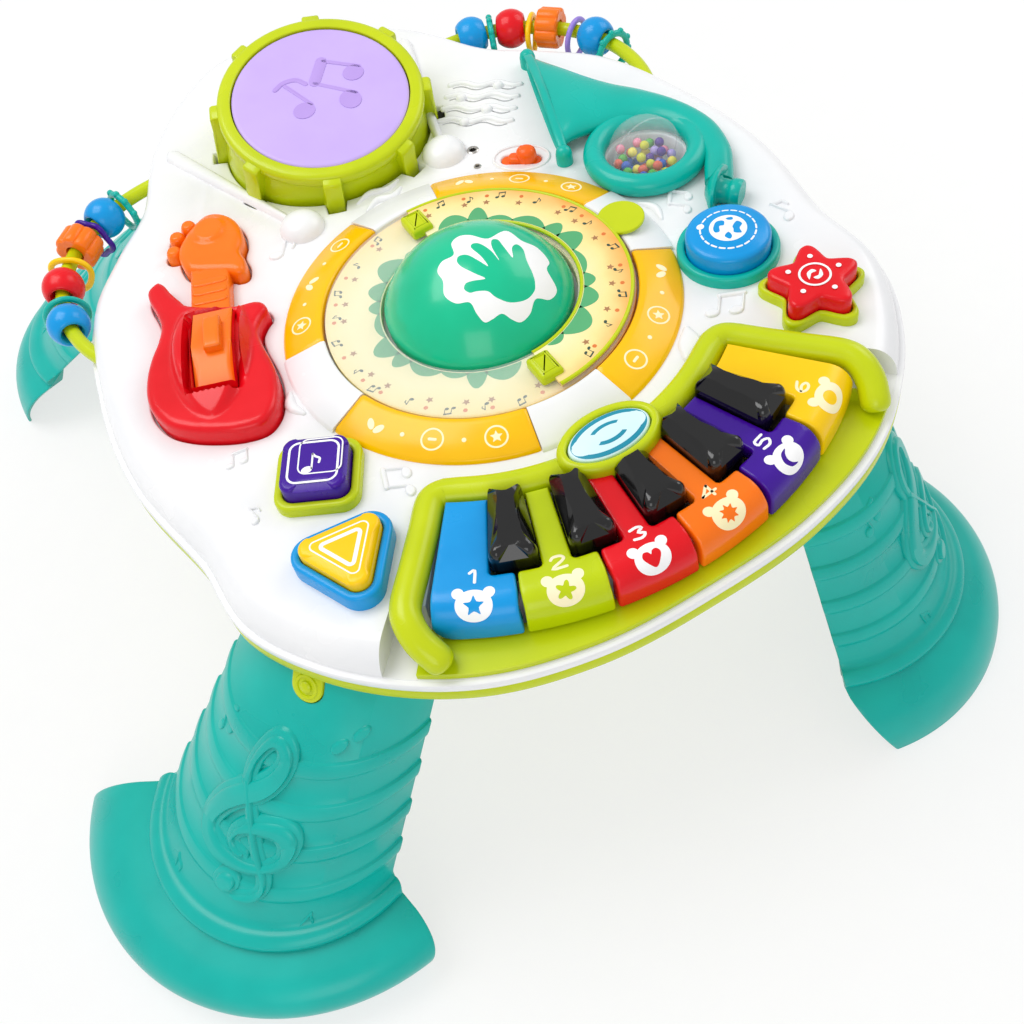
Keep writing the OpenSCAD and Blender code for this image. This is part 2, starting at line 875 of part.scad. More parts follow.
module rattle_ball() {
  color("lightcyan", 0.5)
    on_top()
      translate([horn_at[0], horn_at[1], ball_z]) {
        difference() {
          sphere(r = ball_r, $fn = 96);
          sphere(r = ball_r - ball_t, $fn = 96);
        }
        for (s = [-1, 1])
          rotate([-90 * s, 0, 0])
            translate([0, 0, ball_r - ball_t / 2])
              cylinder(r = horn_pin, h = horn_ring - ball_r + ball_t / 2, $fn = 32);
        for (k = [[1, 0], [6, 18], [12, 36]])
          for (i = [0:k[0] - 1])
            rotate([0, 0, i * 360 / k[0]])
              rotate([0, k[1], 0])
                translate([0, 0, -loose_at])
                  sphere(r = loose_r, $fn = 24);
      }
}

/* Guitar */

guitar_at = [-134.5, 34];
guitar_turn = 68.3;
arch_z = arch_top - arch_r;
slot_mid = 21;
slot_l = 58;
slider_deep = 7;

guitar_outline = smooth([
  [-35, 0], [-25, -25], [0, -35], [23, -32], [42, -26.5], [60, -28],
  [78, -33], [87, -29], [80, -22], [66, -16], [58, -9], [57, 4], [59, 14],
  [64, 25], [60, 31], [48, 28], [36, 25], [20, 30], [0, 35], [-25, 25]
]);

head_outline = smooth([
  [80, -10], [90, -13], [98, -19], [104, -24], [111, -20], [119, -25],
  [126, -19], [134, -17], [137, -8], [134, 3], [126, 13], [113, 20],
  [100, 21], [91, 15], [81, 10]
]);

module at_guitar() {
  translate([guitar_at[0], guitar_at[1], 0])
    rotate([0, 0, guitar_turn])
      children();
}

// A round bar across the guitar, about the arch's axis
module arch_bar(r, w) {
  translate([slot_mid, 0, arch_z])
    rotate([90, 0, 0])
      cylinder(r = r, h = w, center = true, $fn = 256);
}

module guitar_body() {
  color("crimson")
    on_top()
      at_guitar()
        difference() {
          union() {
            linear_extrude(guitar_h - 3)
              polygon(guitar_outline);
            linear_extrude(guitar_h - 1)
              offset(delta = -1)
                polygon(guitar_outline);
            linear_extrude(guitar_h)
              offset(delta = -3)
                polygon(guitar_outline);
            intersection() {
              arch_bar(arch_r, slot_w + 9);
              translate([slot_mid - slot_l / 2 - 5, -20, 0])
                cube([slot_l + 10, 40, 30]);
            }
          }
          difference() {
            translate([slot_mid - slot_l / 2, -slot_w / 2, 1])
              cube([slot_l, slot_w, 40]);
            arch_bar(arch_r - slider_deep - 0.3, slot_w + 2);
          }
        }
}

module guitar_slider() {
  color("darkorange")
    on_top()
      at_guitar()
        intersection() {
          difference() {
            union() {
              arch_bar(arch_r + 1.5, slot_w - 0.8);
              intersection() {
                arch_bar(arch_r + 4, slot_w - 5);
                translate([slot_mid - 5, -20, 0])
                  cube([10, 40, 40]);
              }
            }
            arch_bar(arch_r - slider_deep, slot_w + 2);
          }
          translate([slot_mid, slot_w, arch_z])
            rotate([90, 0, 0])
              linear_extrude(2 * slot_w)
                polygon([[0, 0], [-26, 100], [26, 100]]);
        }
}

module guitar_neck() {
  color("darkorange")
    on_top()
      at_guitar() {
        linear_extrude(guitar_h - 2)
          polygon(head_outline);
        translate([57.6, -9, 0])
          cube([26, 18, guitar_h - 3]);
      }
}

/* Buttons: each has a bezel on the panel and a cap that presses */

cap_low = press + 0.4;

module rounded(w, d, r, h) {
  linear_extrude(h)
    offset(r = r, $fn = 32)
      square([w - 2 * r, d - 2 * r], center = true);
}

square_at = [-115, -50];

module at_square() {
  on_top()
    translate([square_at[0], square_at[1], 0])
      rotate([0, 0, -30])
        children();
}

module square_bezel() {
  w = square_w + 2 * bezel_w;
  color("yellowgreen")
    at_square()
      difference() {
        rounded(w, w, 9, bezel_h);
        translate([0, 0, -1])
          rounded(square_w + 2 * cap_play, square_w + 2 * cap_play, 6, bezel_h + 2);
      }
}

module square_button() {
  color("indigo")
    at_square()
      translate([0, 0, cap_low]) {
        rounded(square_w, square_w, 6, cap_h - cap_low - 1.5);
        rounded(square_w - 3, square_w - 3, 5, cap_h - cap_low);
      }
}

tri_at = [-124.5, -101];
tri_cap = 6;

module tri(r, h) {
  linear_extrude(h)
    offset(r = r, $fn = 32)
      polygon([for (a = [38, 158, 278]) tri_arm * [cos(a), sin(a)]]);
}

module at_tri() {
  on_top()
    translate([tri_at[0], tri_at[1], 0])
      rotate([0, 0, -15])
        children();
}

module triangle_bezel() {
  color("dodgerblue")
    at_tri()
      difference() {
        tri(tri_cap + bezel_w, bezel_h + 3);
        translate([0, 0, -1])
          tri(tri_cap + cap_play, bezel_h + 5);
      }
}

module triangle_button() {
  color("gold")
    at_tri()
      translate([0, 0, cap_low]) {
        tri(tri_cap, cap_h - cap_low - 1.5);
        tri(tri_cap - 1.5, cap_h - cap_low);
      }
}

round_at = [117, -47];

module round_bezel() {
  color("lightseagreen")
    on_top()
      translate([round_at[0], round_at[1], 0])
        rotate_extrude($fn = 96)
          polygon([
            [round_r + cap_play, 0], [round_r + bezel_w, 0],
            [round_r + bezel_w, bezel_h - 1.5], [round_r + bezel_w - 1.5, bezel_h],
            [round_r + cap_play, bezel_h]
          ]);
}

module round_button() {
  color("deepskyblue")
    on_top()
      translate([round_at[0], round_at[1], cap_low])
        rotate_extrude($fn = 96)
          polygon(concat(
            [[0, 0], [round_r, 0]],
            arc([round_r - 3, cap_h - cap_low - 1], 3, 0, 90, 5),
            [[0, cap_h - cap_low + 3.5]]
          ));
}

star_at = [130, -97];

module at_star() {
  on_top()
    translate([star_at[0], star_at[1], 0])
      rotate([0, 0, 62])
        children();
}

function star(r) = smooth([
  for (i = [0:19])
    let (a = i * 18, k = [1, 0.88, 0.66, 0.88][i % 4])
    r * k * [cos(a), sin(a)]
], 3);

module star_bezel() {
  color("yellowgreen")
    at_star()
      difference() {
        linear_extrude(bezel_h)
          polygon(star(star_r + bezel_w));
        translate([0, 0, -1])
          linear_extrude(bezel_h + 2)
            polygon(star(star_r + 2 * cap_play));
      }
}

module star_button() {
  color("crimson")
    at_star()
      translate([0, 0, cap_low]) {
        linear_extrude(cap_h - cap_low - 1.5)
          polygon(star(star_r));
        linear_extrude(cap_h - cap_low)
          polygon(star(star_r - 2));
      }
}

module power_knob() {
  color("orangered")
    on_top()
      translate([knob_at[0], knob_at[1], 0])
        rotate([0, 0, knob_turn]) {
          translate([-knob_l / 2, -knob_w / 2, 0.3])
            cube([knob_l, knob_w, 6]);
          for (i = [-1:1])
            translate([4 * i, 0, 6.3])
              rotate([90, 0, 0])
                cylinder(r = 1.2, h = knob_w - 1, center = true, $fn = 24);
          translate([-knob_l / 2 + 2.5, -stem_w / 2, -skin_t - 3])
            cube([knob_l - 5, stem_w, skin_t + 4]);
          translate([-knob_l / 2, -knob_w / 2, -skin_t - 2.3])
            cube([knob_l, knob_w, 2]);
        }
}

/* Keyboard */

pin_at = key_back + 4;
pin_z = -9;
pin_r = 1.5;
mode_at = -118;
mode_w = 26;
mode_d = 17;
mode_h = 14;
mode_in = 5;

function key_mid(i) = 270 + (i - (keys + 1) / 2) * key_pitch;

module piano_frame() {
  color("yellowgreen")
    on_top() {
      difference() {
        union() {
          rotate([0, 0, 270 - tube_side])
            rotate_extrude(angle = 2 * tube_side, $fn = 128)
              translate([tube_at, tube_z])
                circle(r = tube_r, $fn = 32);
          for (s = [-1, 1])
            rod(
              piano_point(tube_at, s * tube_side, tube_z),
              piano_point(tube_ends[0][0] + 2, s * tube_ends[0][1], tube_z), tube_r
            );
          translate([0, mode_at, 0])
            linear_extrude(mode_h)
              polygon(oval(mode_w, mode_d));
        }
        translate([0, mode_at, mode_h - 4])
          linear_extrude(10)
            polygon(oval(mode_w - mode_in, mode_d - mode_in));
        sector(key_back - 1.4, key_back + 60, -20, key_top + 1, 270 - tube_side + 5, 270 + tube_side - 5);
        translate([0, 0, -40])
          cylinder(r = 2 * key_front, h = 40, $fn = 128);
      }
      tube_bends();
      intersection() {
        translate([0, 0, well_low])
          linear_extrude(3)
            polygon(flat(rim_ring(4, 0)));
        sector(key_front + 1, back_r, well_low - 1, 0, 270 - well_half + 1, 270 + well_half - 1);
      }
    }
}

module black_outline(grow) {
  polygon([
    [-15 / 2 - grow, -key_back + 1], [15 / 2 + grow, -key_back + 1],
    [black_w / 2 + grow, -key_back - black_l - grow],
    [-black_w / 2 - grow, -key_back - black_l - grow]
  ]);
}

module black_keys() {
  color("black")
    on_top() {
      difference() {
        union() {
          for (i = [1:keys - 1])
            rotate([0, 0, key_mid(i + 0.5) - 270]) {
              translate([0, 0, well_low])
                linear_extrude(key_top + 1 - well_low)
                  intersection() {
                    black_outline(0);
                    translate([-20, -key_back - 60])
                      square([40, 60]);
                  }
              hull() {
                translate([0, 0, key_top + 1])
                  linear_extrude(0.1)
                    intersection() {
                      black_outline(0);
                      translate([-20, -key_back - 60])
                        square([40, 60]);
                    }
                translate([0, 0, key_top + 1 + black_h])
                  linear_extrude(0.1)
                    polygon([
                      [-5.5, -key_back - 1.5], [5.5, -key_back - 1.5],
                      [black_w / 2 - 3.5, -key_back - black_l + 5],
                      [3.5 - black_w / 2, -key_back - black_l + 5]
                    ]);
              }
            }
          for (i = [1:keys])
            rotate([0, 0, key_mid(i) - 270])
              translate([0, -pin_at, pin_z])
                rotate([0, 90, 0])
                  translate([0, 0, i == 1 ? -15 : -8])
                    cylinder(r = pin_r, h = i == 1 || i == keys ? 23 : 16, $fn = 32);
        }
        translate([0, mode_at, key_top + 0.7])
          linear_extrude(20)
            polygon(oval(mode_w + 0.4, mode_d + 0.4));
      }
    }
}

key_deg = key_pitch - key_gap / ((key_back + key_front) / 2) * 180 / PI;

// Half section of a key from its back to its rounded front, shrunk by its wall
function key_side(in, low) = concat(
  [[key_back + in, low], [key_front - in, low]],
  arc([key_front - key_round, key_top - key_round], key_round - in, 0, 90, 8),
  [[key_back + in, key_top - in]]
);

module key(i) {
  span = key_deg - 2 * key_t / key_front * 180 / PI;
  on_top()
    rotate([0, 0, key_mid(i) - 270])
      difference() {
        rotate([0, 0, 270 - key_deg / 2])
          rotate_extrude(angle = key_deg, $fn = 256)
            polygon(key_side(0, key_top - key_d));
        intersection() {
          rotate([0, 0, 270 - span / 2])
            rotate_extrude(angle = span, $fn = 256)
              polygon(key_side(key_t, key_top - key_d - 1));
          translate([-30, -key_front, -30])
            cube([60, key_front - key_back - black_l - key_t - 1, 60]);
        }
        for (s = [-1, 1])
          if (i + s > 0 && i + s <= keys)
            rotate([0, 0, s * key_pitch / 2])
              translate([0, 0, -30])
                linear_extrude(60)
                  black_outline(0.8);
        translate([0, -pin_at, pin_z])
          rotate([0, 90, 0])
            cylinder(r = pin_r + 0.1, h = 60, center = true, $fn = 32);
      }
}

module key_1() {
  color("dodgerblue")
    key(1);
}

module key_2() {
  color("yellowgreen")
    key(2);
}

module key_3() {
  color("crimson")
    key(3);
}

module key_4() {
  color("darkorange")
    key(4);
}

module key_5() {
  color("indigo")
    key(5);
}

module key_6() {
  color("gold")
    key(6);
}

module mode_button() {
  color("deepskyblue")
    on_top()
      translate([0, mode_at, mode_h - 4 + press + 0.3])
        linear_extrude(4)
          polygon(oval(mode_w - mode_in - cap_play, mode_d - mode_in - cap_play));
}

/* Bead rails */

module rail(s) {
  on_top()
    at_rail(s)
      rail_rod(0);
}

module rail_left() {
  color("yellowgreen")
    rail(-1);
}

module rail_right() {
  color("yellowgreen")
    rail(1);
}

// A round bead along Z, with its bore
module ball_bead() {
  difference() {
    intersection() {
      sphere(r = bead_r, $fn = 64);
      cube([40, 40, bead_l], center = true);
    }
    cylinder(r = rail_r + bead_play, h = 40, center = true, $fn = 48);
  }
}

// A barrel with eight lobes along Z, with its bore
module lobe_bead() {
  difference() {
    union() {
      cylinder(r = bead_r - 2, h = bead_l - 4, center = true);
      for (i = [0:7])
        rotate([0, 0, i * 45])
          translate([bead_r - 1.5, 0, 0])
            cylinder(r = 3, h = bead_l - 4, center = true, $fn = 24);
    }
    cylinder(r = rail_r + bead_play, h = 40, center = true, $fn = 48);
  }
}

// A thin ring that hangs on the rail, with knobs round it
module ring_bead(knobs, knob_r) {
  r = hoop_r - hoop_t / 2;
  translate([hoop_r - hoop_t - rail_r - 0.3, 0, 0]) {
    rotate_extrude($fn = 64)
      translate([r, 0])
        circle(r = hoop_t / 2, $fn = 24);
    for (i = [0:knobs - 1])
      rotate([0, 0, (i + 0.5) * 360 / knobs])
        translate([r, 0, 0])
          sphere(r = knob_r, $fn = 24);
  }
}

// Each bead's angle on its rail, and its kind: 0 ball, 1 lobed, 2 ring
left_beads = [[73, 2], [64, 0], [55.5, 2], [47, 1], [35.5, 2], [24, 0], [12.5, 2], [2.8, 0]];
right_beads = [[74.6, 0], [66.1, 2], [57.6, 0], [49.1, 2], [40.6, 1], [29, 2], [19, 0], [9.5, 2]];

module bead(s, i) {
  b = (s < 0 ? left_beads : right_beads)[i - 1];
  on_top()
    at_rail(s)
      rotate([0, 0, b[0]])
        translate([rail_arc, 0, 0])
          rotate([0, 90, 90])
            if (b[1] == 0)
              ball_bead();
            else if (b[1] == 1)
              lobe_bead();
            else
              ring_bead(6, hoop_t / 2 + 0.6);
}

/* Inside and underneath */

module battery_door() {
  color("yellowgreen")
    on_top()
      translate([0.3 - bay_l / 2, pan_y - bay_w / 2 + 0.3, pan_low])
        cube([bay_l - 0.6, bay_w - 0.6, tray_t]);
}

module batteries() {
  color("silver")
    on_top()
      for (i = [-1:1])
        translate([-cell_l / 2, pan_y + i * (2 * cell_r + 0.4), pan_low + tray_t + cell_r])
          rotate([0, 90, 0]) {
            cylinder(r = cell_r, h = cell_l, $fn = 48);
            cylinder(r = 2.5, h = cell_l + 1, $fn = 32);
          }
}

board_z = pan_low + tray_t + 6;

module circuit_board() {
  color("green")
    on_top()
      translate([60, pan_y - 30, 0]) {
        translate([0, 0, board_z])
          cube([50, 60, 1.6]);
        for (p = [[5, 5], [45, 5], [5, 55], [45, 55]])
          translate([p[0], p[1], pan_low + tray_t])
            cylinder(r = 3, h = board_z - pan_low - tray_t, $fn = 24);
      }
}

module speaker() {
  color("dimgray")
    on_top()
      translate([grille_at[0], grille_at[1], -skin_t - 14])
        rotate_extrude($fn = 64)
          polygon([
            [0, 0], [14, 0], [14, 6], [24, 10], [25, 10], [25, 14], [22, 14],
            [12, 7], [0, 7]
          ]);
}

module case_screws() {
  color("silver")
    on_top()
      for (p = screw_at)
        translate([p[0], p[1], band_low - 1.8]) {
          cylinder(r = 3, h = 1.8, $fn = 32);
          cylinder(r = screw_r, h = screw_l, $fn = 32);
        }
}

module leg_front_left() {
  leg(0);
}

module leg_front_right() {
  leg(1);
}

module leg_back_left() {
  leg(2);
}

module leg_back_right() {
  leg(3);
}

module bead_l1() {
  color("lightseagreen")
    bead(-1, 1);
}

module bead_l2() {
  color("dodgerblue")
    bead(-1, 2);
}

module bead_l3() {
  color("indigo")
    bead(-1, 3);
}

module bead_l4() {
  color("darkorange")
    bead(-1, 4);
}

module bead_l5() {
  color("gold")
    bead(-1, 5);
}

module bead_l6() {
  color("crimson")
    bead(-1, 6);
}

module bead_l7() {
  color("lightseagreen")
    bead(-1, 7);
}

module bead_l8() {
  color("dodgerblue")
    bead(-1, 8);
}

module bead_r1() {
  color("dodgerblue")
    bead(1, 1);
}

module bead_r2() {
  color("lightseagreen")
    bead(1, 2);
}

module bead_r3() {
  color("crimson")
    bead(1, 3);
}

module bead_r4() {
  color("gold")
    bead(1, 4);
}

module bead_r5() {
  color("darkorange")
    bead(1, 5);
}

module bead_r6() {
  color("indigo")
    bead(1, 6);
}

module bead_r7() {
  color("dodgerblue")
    bead(1, 7);
}

module bead_r8() {
  color("lightseagreen")
    bead(1, 8);
}

top_panel();
base_tray();
leg_front_left();
leg_front_right();
leg_back_left();
leg_back_right();
light_covers();
picture_disc();
disc_cover();
hinge_clips();
flip_page();
dome_button();
drum_shell();
drum_skin();
horn();
rattle_ball();
guitar_body();
guitar_neck();
guitar_slider();
square_bezel();
square_button();
triangle_bezel();
triangle_button();
round_bezel();
round_button();
star_bezel();
star_button();
power_knob();
piano_frame();
black_keys();
key_1();
key_2();
key_3();
key_4();
key_5();
key_6();
mode_button();
rail_left();
rail_right();
bead_l1();
bead_l2();
bead_l3();
bead_l4();
bead_l5();
bead_l6();
bead_l7();
bead_l8();
bead_r1();
bead_r2();
bead_r3();
bead_r4();
bead_r5();
bead_r6();
bead_r7();
bead_r8();
battery_door();
batteries();
circuit_board();
speaker();
case_screws();
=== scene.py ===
import math

import bmesh
import bpy
import numpy as np
from mathutils import Matrix, Vector
from mathutils.geometry import delaunay_2d_cdt


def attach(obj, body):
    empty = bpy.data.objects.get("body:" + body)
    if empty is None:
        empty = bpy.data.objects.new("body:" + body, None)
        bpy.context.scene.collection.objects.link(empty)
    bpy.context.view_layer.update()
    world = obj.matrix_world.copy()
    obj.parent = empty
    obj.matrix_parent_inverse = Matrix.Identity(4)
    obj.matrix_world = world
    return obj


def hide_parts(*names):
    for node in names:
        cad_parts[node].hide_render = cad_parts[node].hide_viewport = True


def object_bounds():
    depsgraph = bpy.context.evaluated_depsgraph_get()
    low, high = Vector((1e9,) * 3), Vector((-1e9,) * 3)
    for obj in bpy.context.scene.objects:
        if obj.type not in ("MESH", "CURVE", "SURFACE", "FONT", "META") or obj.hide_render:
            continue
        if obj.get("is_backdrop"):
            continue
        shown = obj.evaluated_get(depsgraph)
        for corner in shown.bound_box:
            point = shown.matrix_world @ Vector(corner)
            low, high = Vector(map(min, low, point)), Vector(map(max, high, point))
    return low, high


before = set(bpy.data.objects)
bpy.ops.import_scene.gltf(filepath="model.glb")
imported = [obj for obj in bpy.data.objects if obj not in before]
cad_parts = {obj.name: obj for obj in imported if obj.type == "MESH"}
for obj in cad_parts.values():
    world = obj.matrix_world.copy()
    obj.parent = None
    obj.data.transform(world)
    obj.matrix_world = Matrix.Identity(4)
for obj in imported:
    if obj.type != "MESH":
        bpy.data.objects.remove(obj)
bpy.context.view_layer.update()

# ---- Where the table stands -------------------------------------------------
# A pale studio floor under broad soft lamps. The camera looks down on the
# keyboard side of the table from about the height of a standing adult.


def colour(text):
    """An sRGB hex colour as Blender's linear colour."""
    parts = [int(text[i:i + 2], 16) / 255 for i in (1, 3, 5)]
    return tuple(p / 12.92 if p <= 0.04045 else ((p + 0.055) / 1.055) ** 2.4 for p in parts) + (1.0,)


def add_node(tree, kind, links=None, **settings):
    """A node with its settings; links maps an input's name or number to an output or a value."""
    made = tree.nodes.new(kind)
    for key, value in settings.items():
        setattr(made, key, value)
    for key, value in (links or {}).items():
        if isinstance(value, bpy.types.NodeSocket):
            tree.links.new(value, made.inputs[key])
        else:
            made.inputs[key].default_value = value
    return made


def studio_floor():
    """Seamless white paper: seen as white, with the table's soft shadow kept on it."""
    made = bpy.data.materials.new("studio_paper")
    made.use_nodes = True
    tree = made.node_tree
    tree.nodes.clear()
    fibre = add_node(tree, "ShaderNodeTexNoise", {"Scale": 900.0, "Detail": 3.0})
    tint = add_node(tree, "ShaderNodeMix", {"Factor": fibre.outputs["Fac"], 6: colour("#F4F4F4"), 7: colour("#FBFBFB")},
                    data_type="RGBA")
    paper = add_node(tree, "ShaderNodeBsdfDiffuse", {"Color": tint.outputs[2]})
    glow = add_node(tree, "ShaderNodeEmission", {"Color": (1, 1, 1, 1), "Strength": 1.0})
    rays = add_node(tree, "ShaderNodeLightPath")
    seen = add_node(tree, "ShaderNodeMath", {0: rays.outputs["Is Camera Ray"], 1: rays.outputs["Is Glossy Ray"]},
                    operation="MAXIMUM")
    seen_as_white = add_node(tree, "ShaderNodeMath", {0: seen.outputs[0], 1: rays.outputs["Is Transmission Ray"]},
                             operation="MAXIMUM")
    share = add_node(tree, "ShaderNodeMath", {0: seen_as_white.outputs[0], 1: 0.72}, operation="MULTIPLY")
    both = add_node(tree, "ShaderNodeMixShader", {0: share.outputs[0], 1: paper.outputs[0], 2: glow.outputs[0]})
    add_node(tree, "ShaderNodeOutputMaterial", {0: both.outputs[0]})
    return made


floor_mesh = bpy.data.meshes.new("floor")
floor_mesh.from_pydata([(-9, -9, 0), (9, -9, 0), (9, 9, 0), (-9, 9, 0)], [], [(0, 1, 2, 3)])
floor_mesh.materials.append(studio_floor())
floor = bpy.data.objects.new("floor", floor_mesh)
bpy.context.scene.collection.objects.link(floor)
floor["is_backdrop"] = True

scene = bpy.context.scene
scene.view_settings.view_transform = "Standard"
scene.world = bpy.data.worlds.new("studio")
scene.world.use_nodes = True
sky = scene.world.node_tree.nodes["Background"]
sky.inputs["Color"].default_value = (1, 1, 1, 1)
sky.inputs["Strength"].default_value = 0.62


def soft_lamp(name, at, to, size, power):
    """A square softbox at a place, turned to a point."""
    data = bpy.data.lights.new(name, "AREA")
    data.shape, data.size, data.energy = "SQUARE", size, power
    made = bpy.data.objects.new(name, data)
    made.location = at
    made.rotation_mode = "QUATERNION"
    made.rotation_quaternion = (Vector(to) - Vector(at)).to_track_quat("-Z", "Y")
    scene.collection.objects.link(made)


soft_lamp("overhead_softbox", (-0.5, 0.5, 1.7), (0, 0, 0.1), 1.1, 15)
soft_lamp("side_softbox", (1.3, 0.1, 1.1), (0, 0, 0.15), 0.8, 4.5)
soft_lamp("front_softbox", (-0.9, -1.5, 0.9), (0, -0.1, 0.1), 0.9, 5)

cam_at = Vector((-0.1347, -0.5265, 0.6548))
cam_to = Vector((-0.0155, -0.2025, 0.2))
cam_roll = math.radians(-13.4)
ahead = (cam_to - cam_at).normalized()
side = ahead.cross(Vector((0, 0, 1))).normalized()
above = side.cross(ahead)
right = side * math.cos(cam_roll) + above * math.sin(cam_roll)
upward = above * math.cos(cam_roll) - side * math.sin(cam_roll)
camera_data = bpy.data.cameras.new("camera")
camera_data.lens, camera_data.sensor_width = 45.7, 36.0
camera_data.clip_start, camera_data.clip_end = 0.02, 50.0
camera = bpy.data.objects.new("camera", camera_data)
scene.collection.objects.link(camera)
camera.matrix_world = Matrix.Translation(cam_at) @ Matrix((right, upward, -ahead)).transposed().to_4x4()
scene.camera = camera

# ---- Top panel --------------------------------------------------------------
# One scalloped moulding of glossy white ABS with a broad rolled rim and a flat
# lip, injection moulded and screwed to the tray from below. Places on it are
# in millimetres from the middle of the hand dome, at the panel's flat top.


def moulded(name, tone, shade, roughness=0.26, ripple_mm=9.0, coat=0.0, glow=0.0, bump=0.05):
    """Injection-moulded plastic. Faint flow marks shift the colour and the gloss, and a slight
    waviness of the skin breaks up the highlights."""
    made = bpy.data.materials.new(name)
    made.use_nodes = True
    tree = made.node_tree
    shader = tree.nodes["Principled BSDF"]
    place = add_node(tree, "ShaderNodeTexCoord")
    flow = add_node(tree, "ShaderNodeTexNoise", {"Vector": place.outputs["Object"], "Scale": 1000 / 38.0, "Detail": 3.0,
                                                 "Roughness": 0.55})
    level = add_node(tree, "ShaderNodeMapRange", {"Value": flow.outputs["Fac"], "From Min": 0.3, "From Max": 0.7})
    tint = add_node(tree, "ShaderNodeMix", {"Factor": level.outputs[0], 6: colour(shade), 7: colour(tone)},
                    data_type="RGBA")
    gloss = add_node(tree, "ShaderNodeMapRange", {"Value": flow.outputs["Fac"], "From Min": 0.3, "From Max": 0.7,
                                                  "To Min": roughness * 0.85, "To Max": roughness * 1.2})
    ripple = add_node(tree, "ShaderNodeTexNoise", {"Vector": place.outputs["Object"], "Scale": 1000 / ripple_mm,
                                                   "Detail": 2.0})
    skin = add_node(tree, "ShaderNodeBump", {"Height": ripple.outputs["Fac"], "Strength": bump, "Distance": 0.0006})
    tree.links.new(tint.outputs[2], shader.inputs["Base Color"])
    tree.links.new(gloss.outputs[0], shader.inputs["Roughness"])
    tree.links.new(skin.outputs[0], shader.inputs["Normal"])
    shader.inputs["IOR"].default_value = 1.5
    shader.inputs["Specular IOR Level"].default_value = 0.36
    shader.inputs["Coat Weight"].default_value = coat
    shader.inputs["Coat Roughness"].default_value = 0.08
    if glow:
        shader.inputs["Subsurface Weight"].default_value = glow
        shader.inputs["Subsurface Radius"].default_value = (1.0, 0.8, 0.5)
        shader.inputs["Subsurface Scale"].default_value = 0.004
    return made


dome_at = (37.5, -83.5, 200)


def mesh_of(name, parts, inward=False):
    """One mesh in metres from (points in mm, faces) parts, every shell's faces turned outwards."""
    points, faces = [], []
    for more, ring in parts:
        faces += [tuple(i + len(points) for i in f) for f in ring]
        points += [((p[0] + dome_at[0]) / 1000, (p[1] + dome_at[1]) / 1000, (p[2] + dome_at[2]) / 1000) for p in more]
    mesh = bpy.data.meshes.new(name)
    mesh.from_pydata(points, [], faces)
    mesh.validate()
    edit = bmesh.new()
    edit.from_mesh(mesh)
    bmesh.ops.recalc_face_normals(edit, faces=edit.faces)
    if inward:
        bmesh.ops.reverse_faces(edit, faces=edit.faces)
    edit.to_mesh(mesh)
    edit.free()
    return mesh


def piece(name, parts, material, body="table", replaces=(), sharp=35, inward=False):
    """An object from parts in millimetres, riding on a body of the table."""
    mesh = mesh_of(name, parts, inward)
    mesh.polygons.foreach_set("use_smooth", [True] * len(mesh.polygons))
    mesh.set_sharp_from_angle(angle=math.radians(sharp))
    mesh.materials.append(material)
    made = bpy.data.objects.new(name, mesh)
    scene.collection.objects.link(made)
    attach(made, body)
    if replaces:
        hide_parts(*replaces)
    return made


rim_knots = [(270, 196), (287, 200.5), (300, 205), (311, 206), (322, 205), (333, 201), (346, 187), (364.5, 192),
             (384, 203), (400, 219), (410, 223), (420, 231), (430.6, 265), (444, 301), (450, 303)]


def rim(angle):
    """The rim's distance from the dome's middle, the same left and right."""
    a = angle % 360
    a = a + 360 if a < 90 else (540 - a if a <= 270 else a)
    i = max(j for j in range(len(rim_knots) - 1) if rim_knots[j][0] <= a)

    def slope(j):
        if j in (0, len(rim_knots) - 1):
            return 0.0
        return (rim_knots[j + 1][1] - rim_knots[j - 1][1]) / (rim_knots[j + 1][0] - rim_knots[j - 1][0])

    h = rim_knots[i + 1][0] - rim_knots[i][0]
    t = (a - rim_knots[i][0]) / h
    return ((2 * t ** 3 - 3 * t ** 2 + 1) * rim_knots[i][1] + (t ** 3 - 2 * t ** 2 + t) * h * slope(i)
            + (3 * t ** 2 - 2 * t ** 3) * rim_knots[i + 1][1] + (t ** 3 - t ** 2) * h * slope(i + 1))


def rim_ring(inset, z):
    """The rim's outline moved inwards by inset, at a height."""
    n = 360
    return [((rim(i * 360 / n) - inset) * math.cos(2 * math.pi * i / n),
             (rim(i * 360 / n) - inset) * math.sin(2 * math.pi * i / n), z) for i in range(n)]


def loft(rings, ends=(True, True), loop=True):
    """Skin through rings with equal counts, counter-clockwise seen from the last ring's side."""
    n = len(rings[0])
    points = [p for r in rings for p in r]
    faces = []
    for j in range(len(rings) - 1):
        for i in range(n if loop else n - 1):
            a, b = j * n + i, j * n + (i + 1) % n
            faces.append((a, b, b + n, a + n))
    if ends[0]:
        faces.append(tuple(range(n - 1, -1, -1)))
    if ends[1]:
        faces.append(tuple(range((len(rings) - 1) * n, len(rings) * n)))
    return points, faces


def inset_loop(loop, d):
    """A closed outline moved inwards by d along its corners' normals."""
    p = np.array(loop, float)
    before, after = np.roll(p, 1, 0), np.roll(p, -1, 0)
    e1, e2 = p - before, after - p
    n1 = np.stack([-e1[:, 1], e1[:, 0]], 1) / np.maximum(np.linalg.norm(e1, axis=1), 1e-9)[:, None]
    n2 = np.stack([-e2[:, 1], e2[:, 0]], 1) / np.maximum(np.linalg.norm(e2, axis=1), 1e-9)[:, None]
    m = n1 + n2
    m /= np.maximum((m * m).sum(1) / 2, 0.6)[:, None]
    return p + m * d


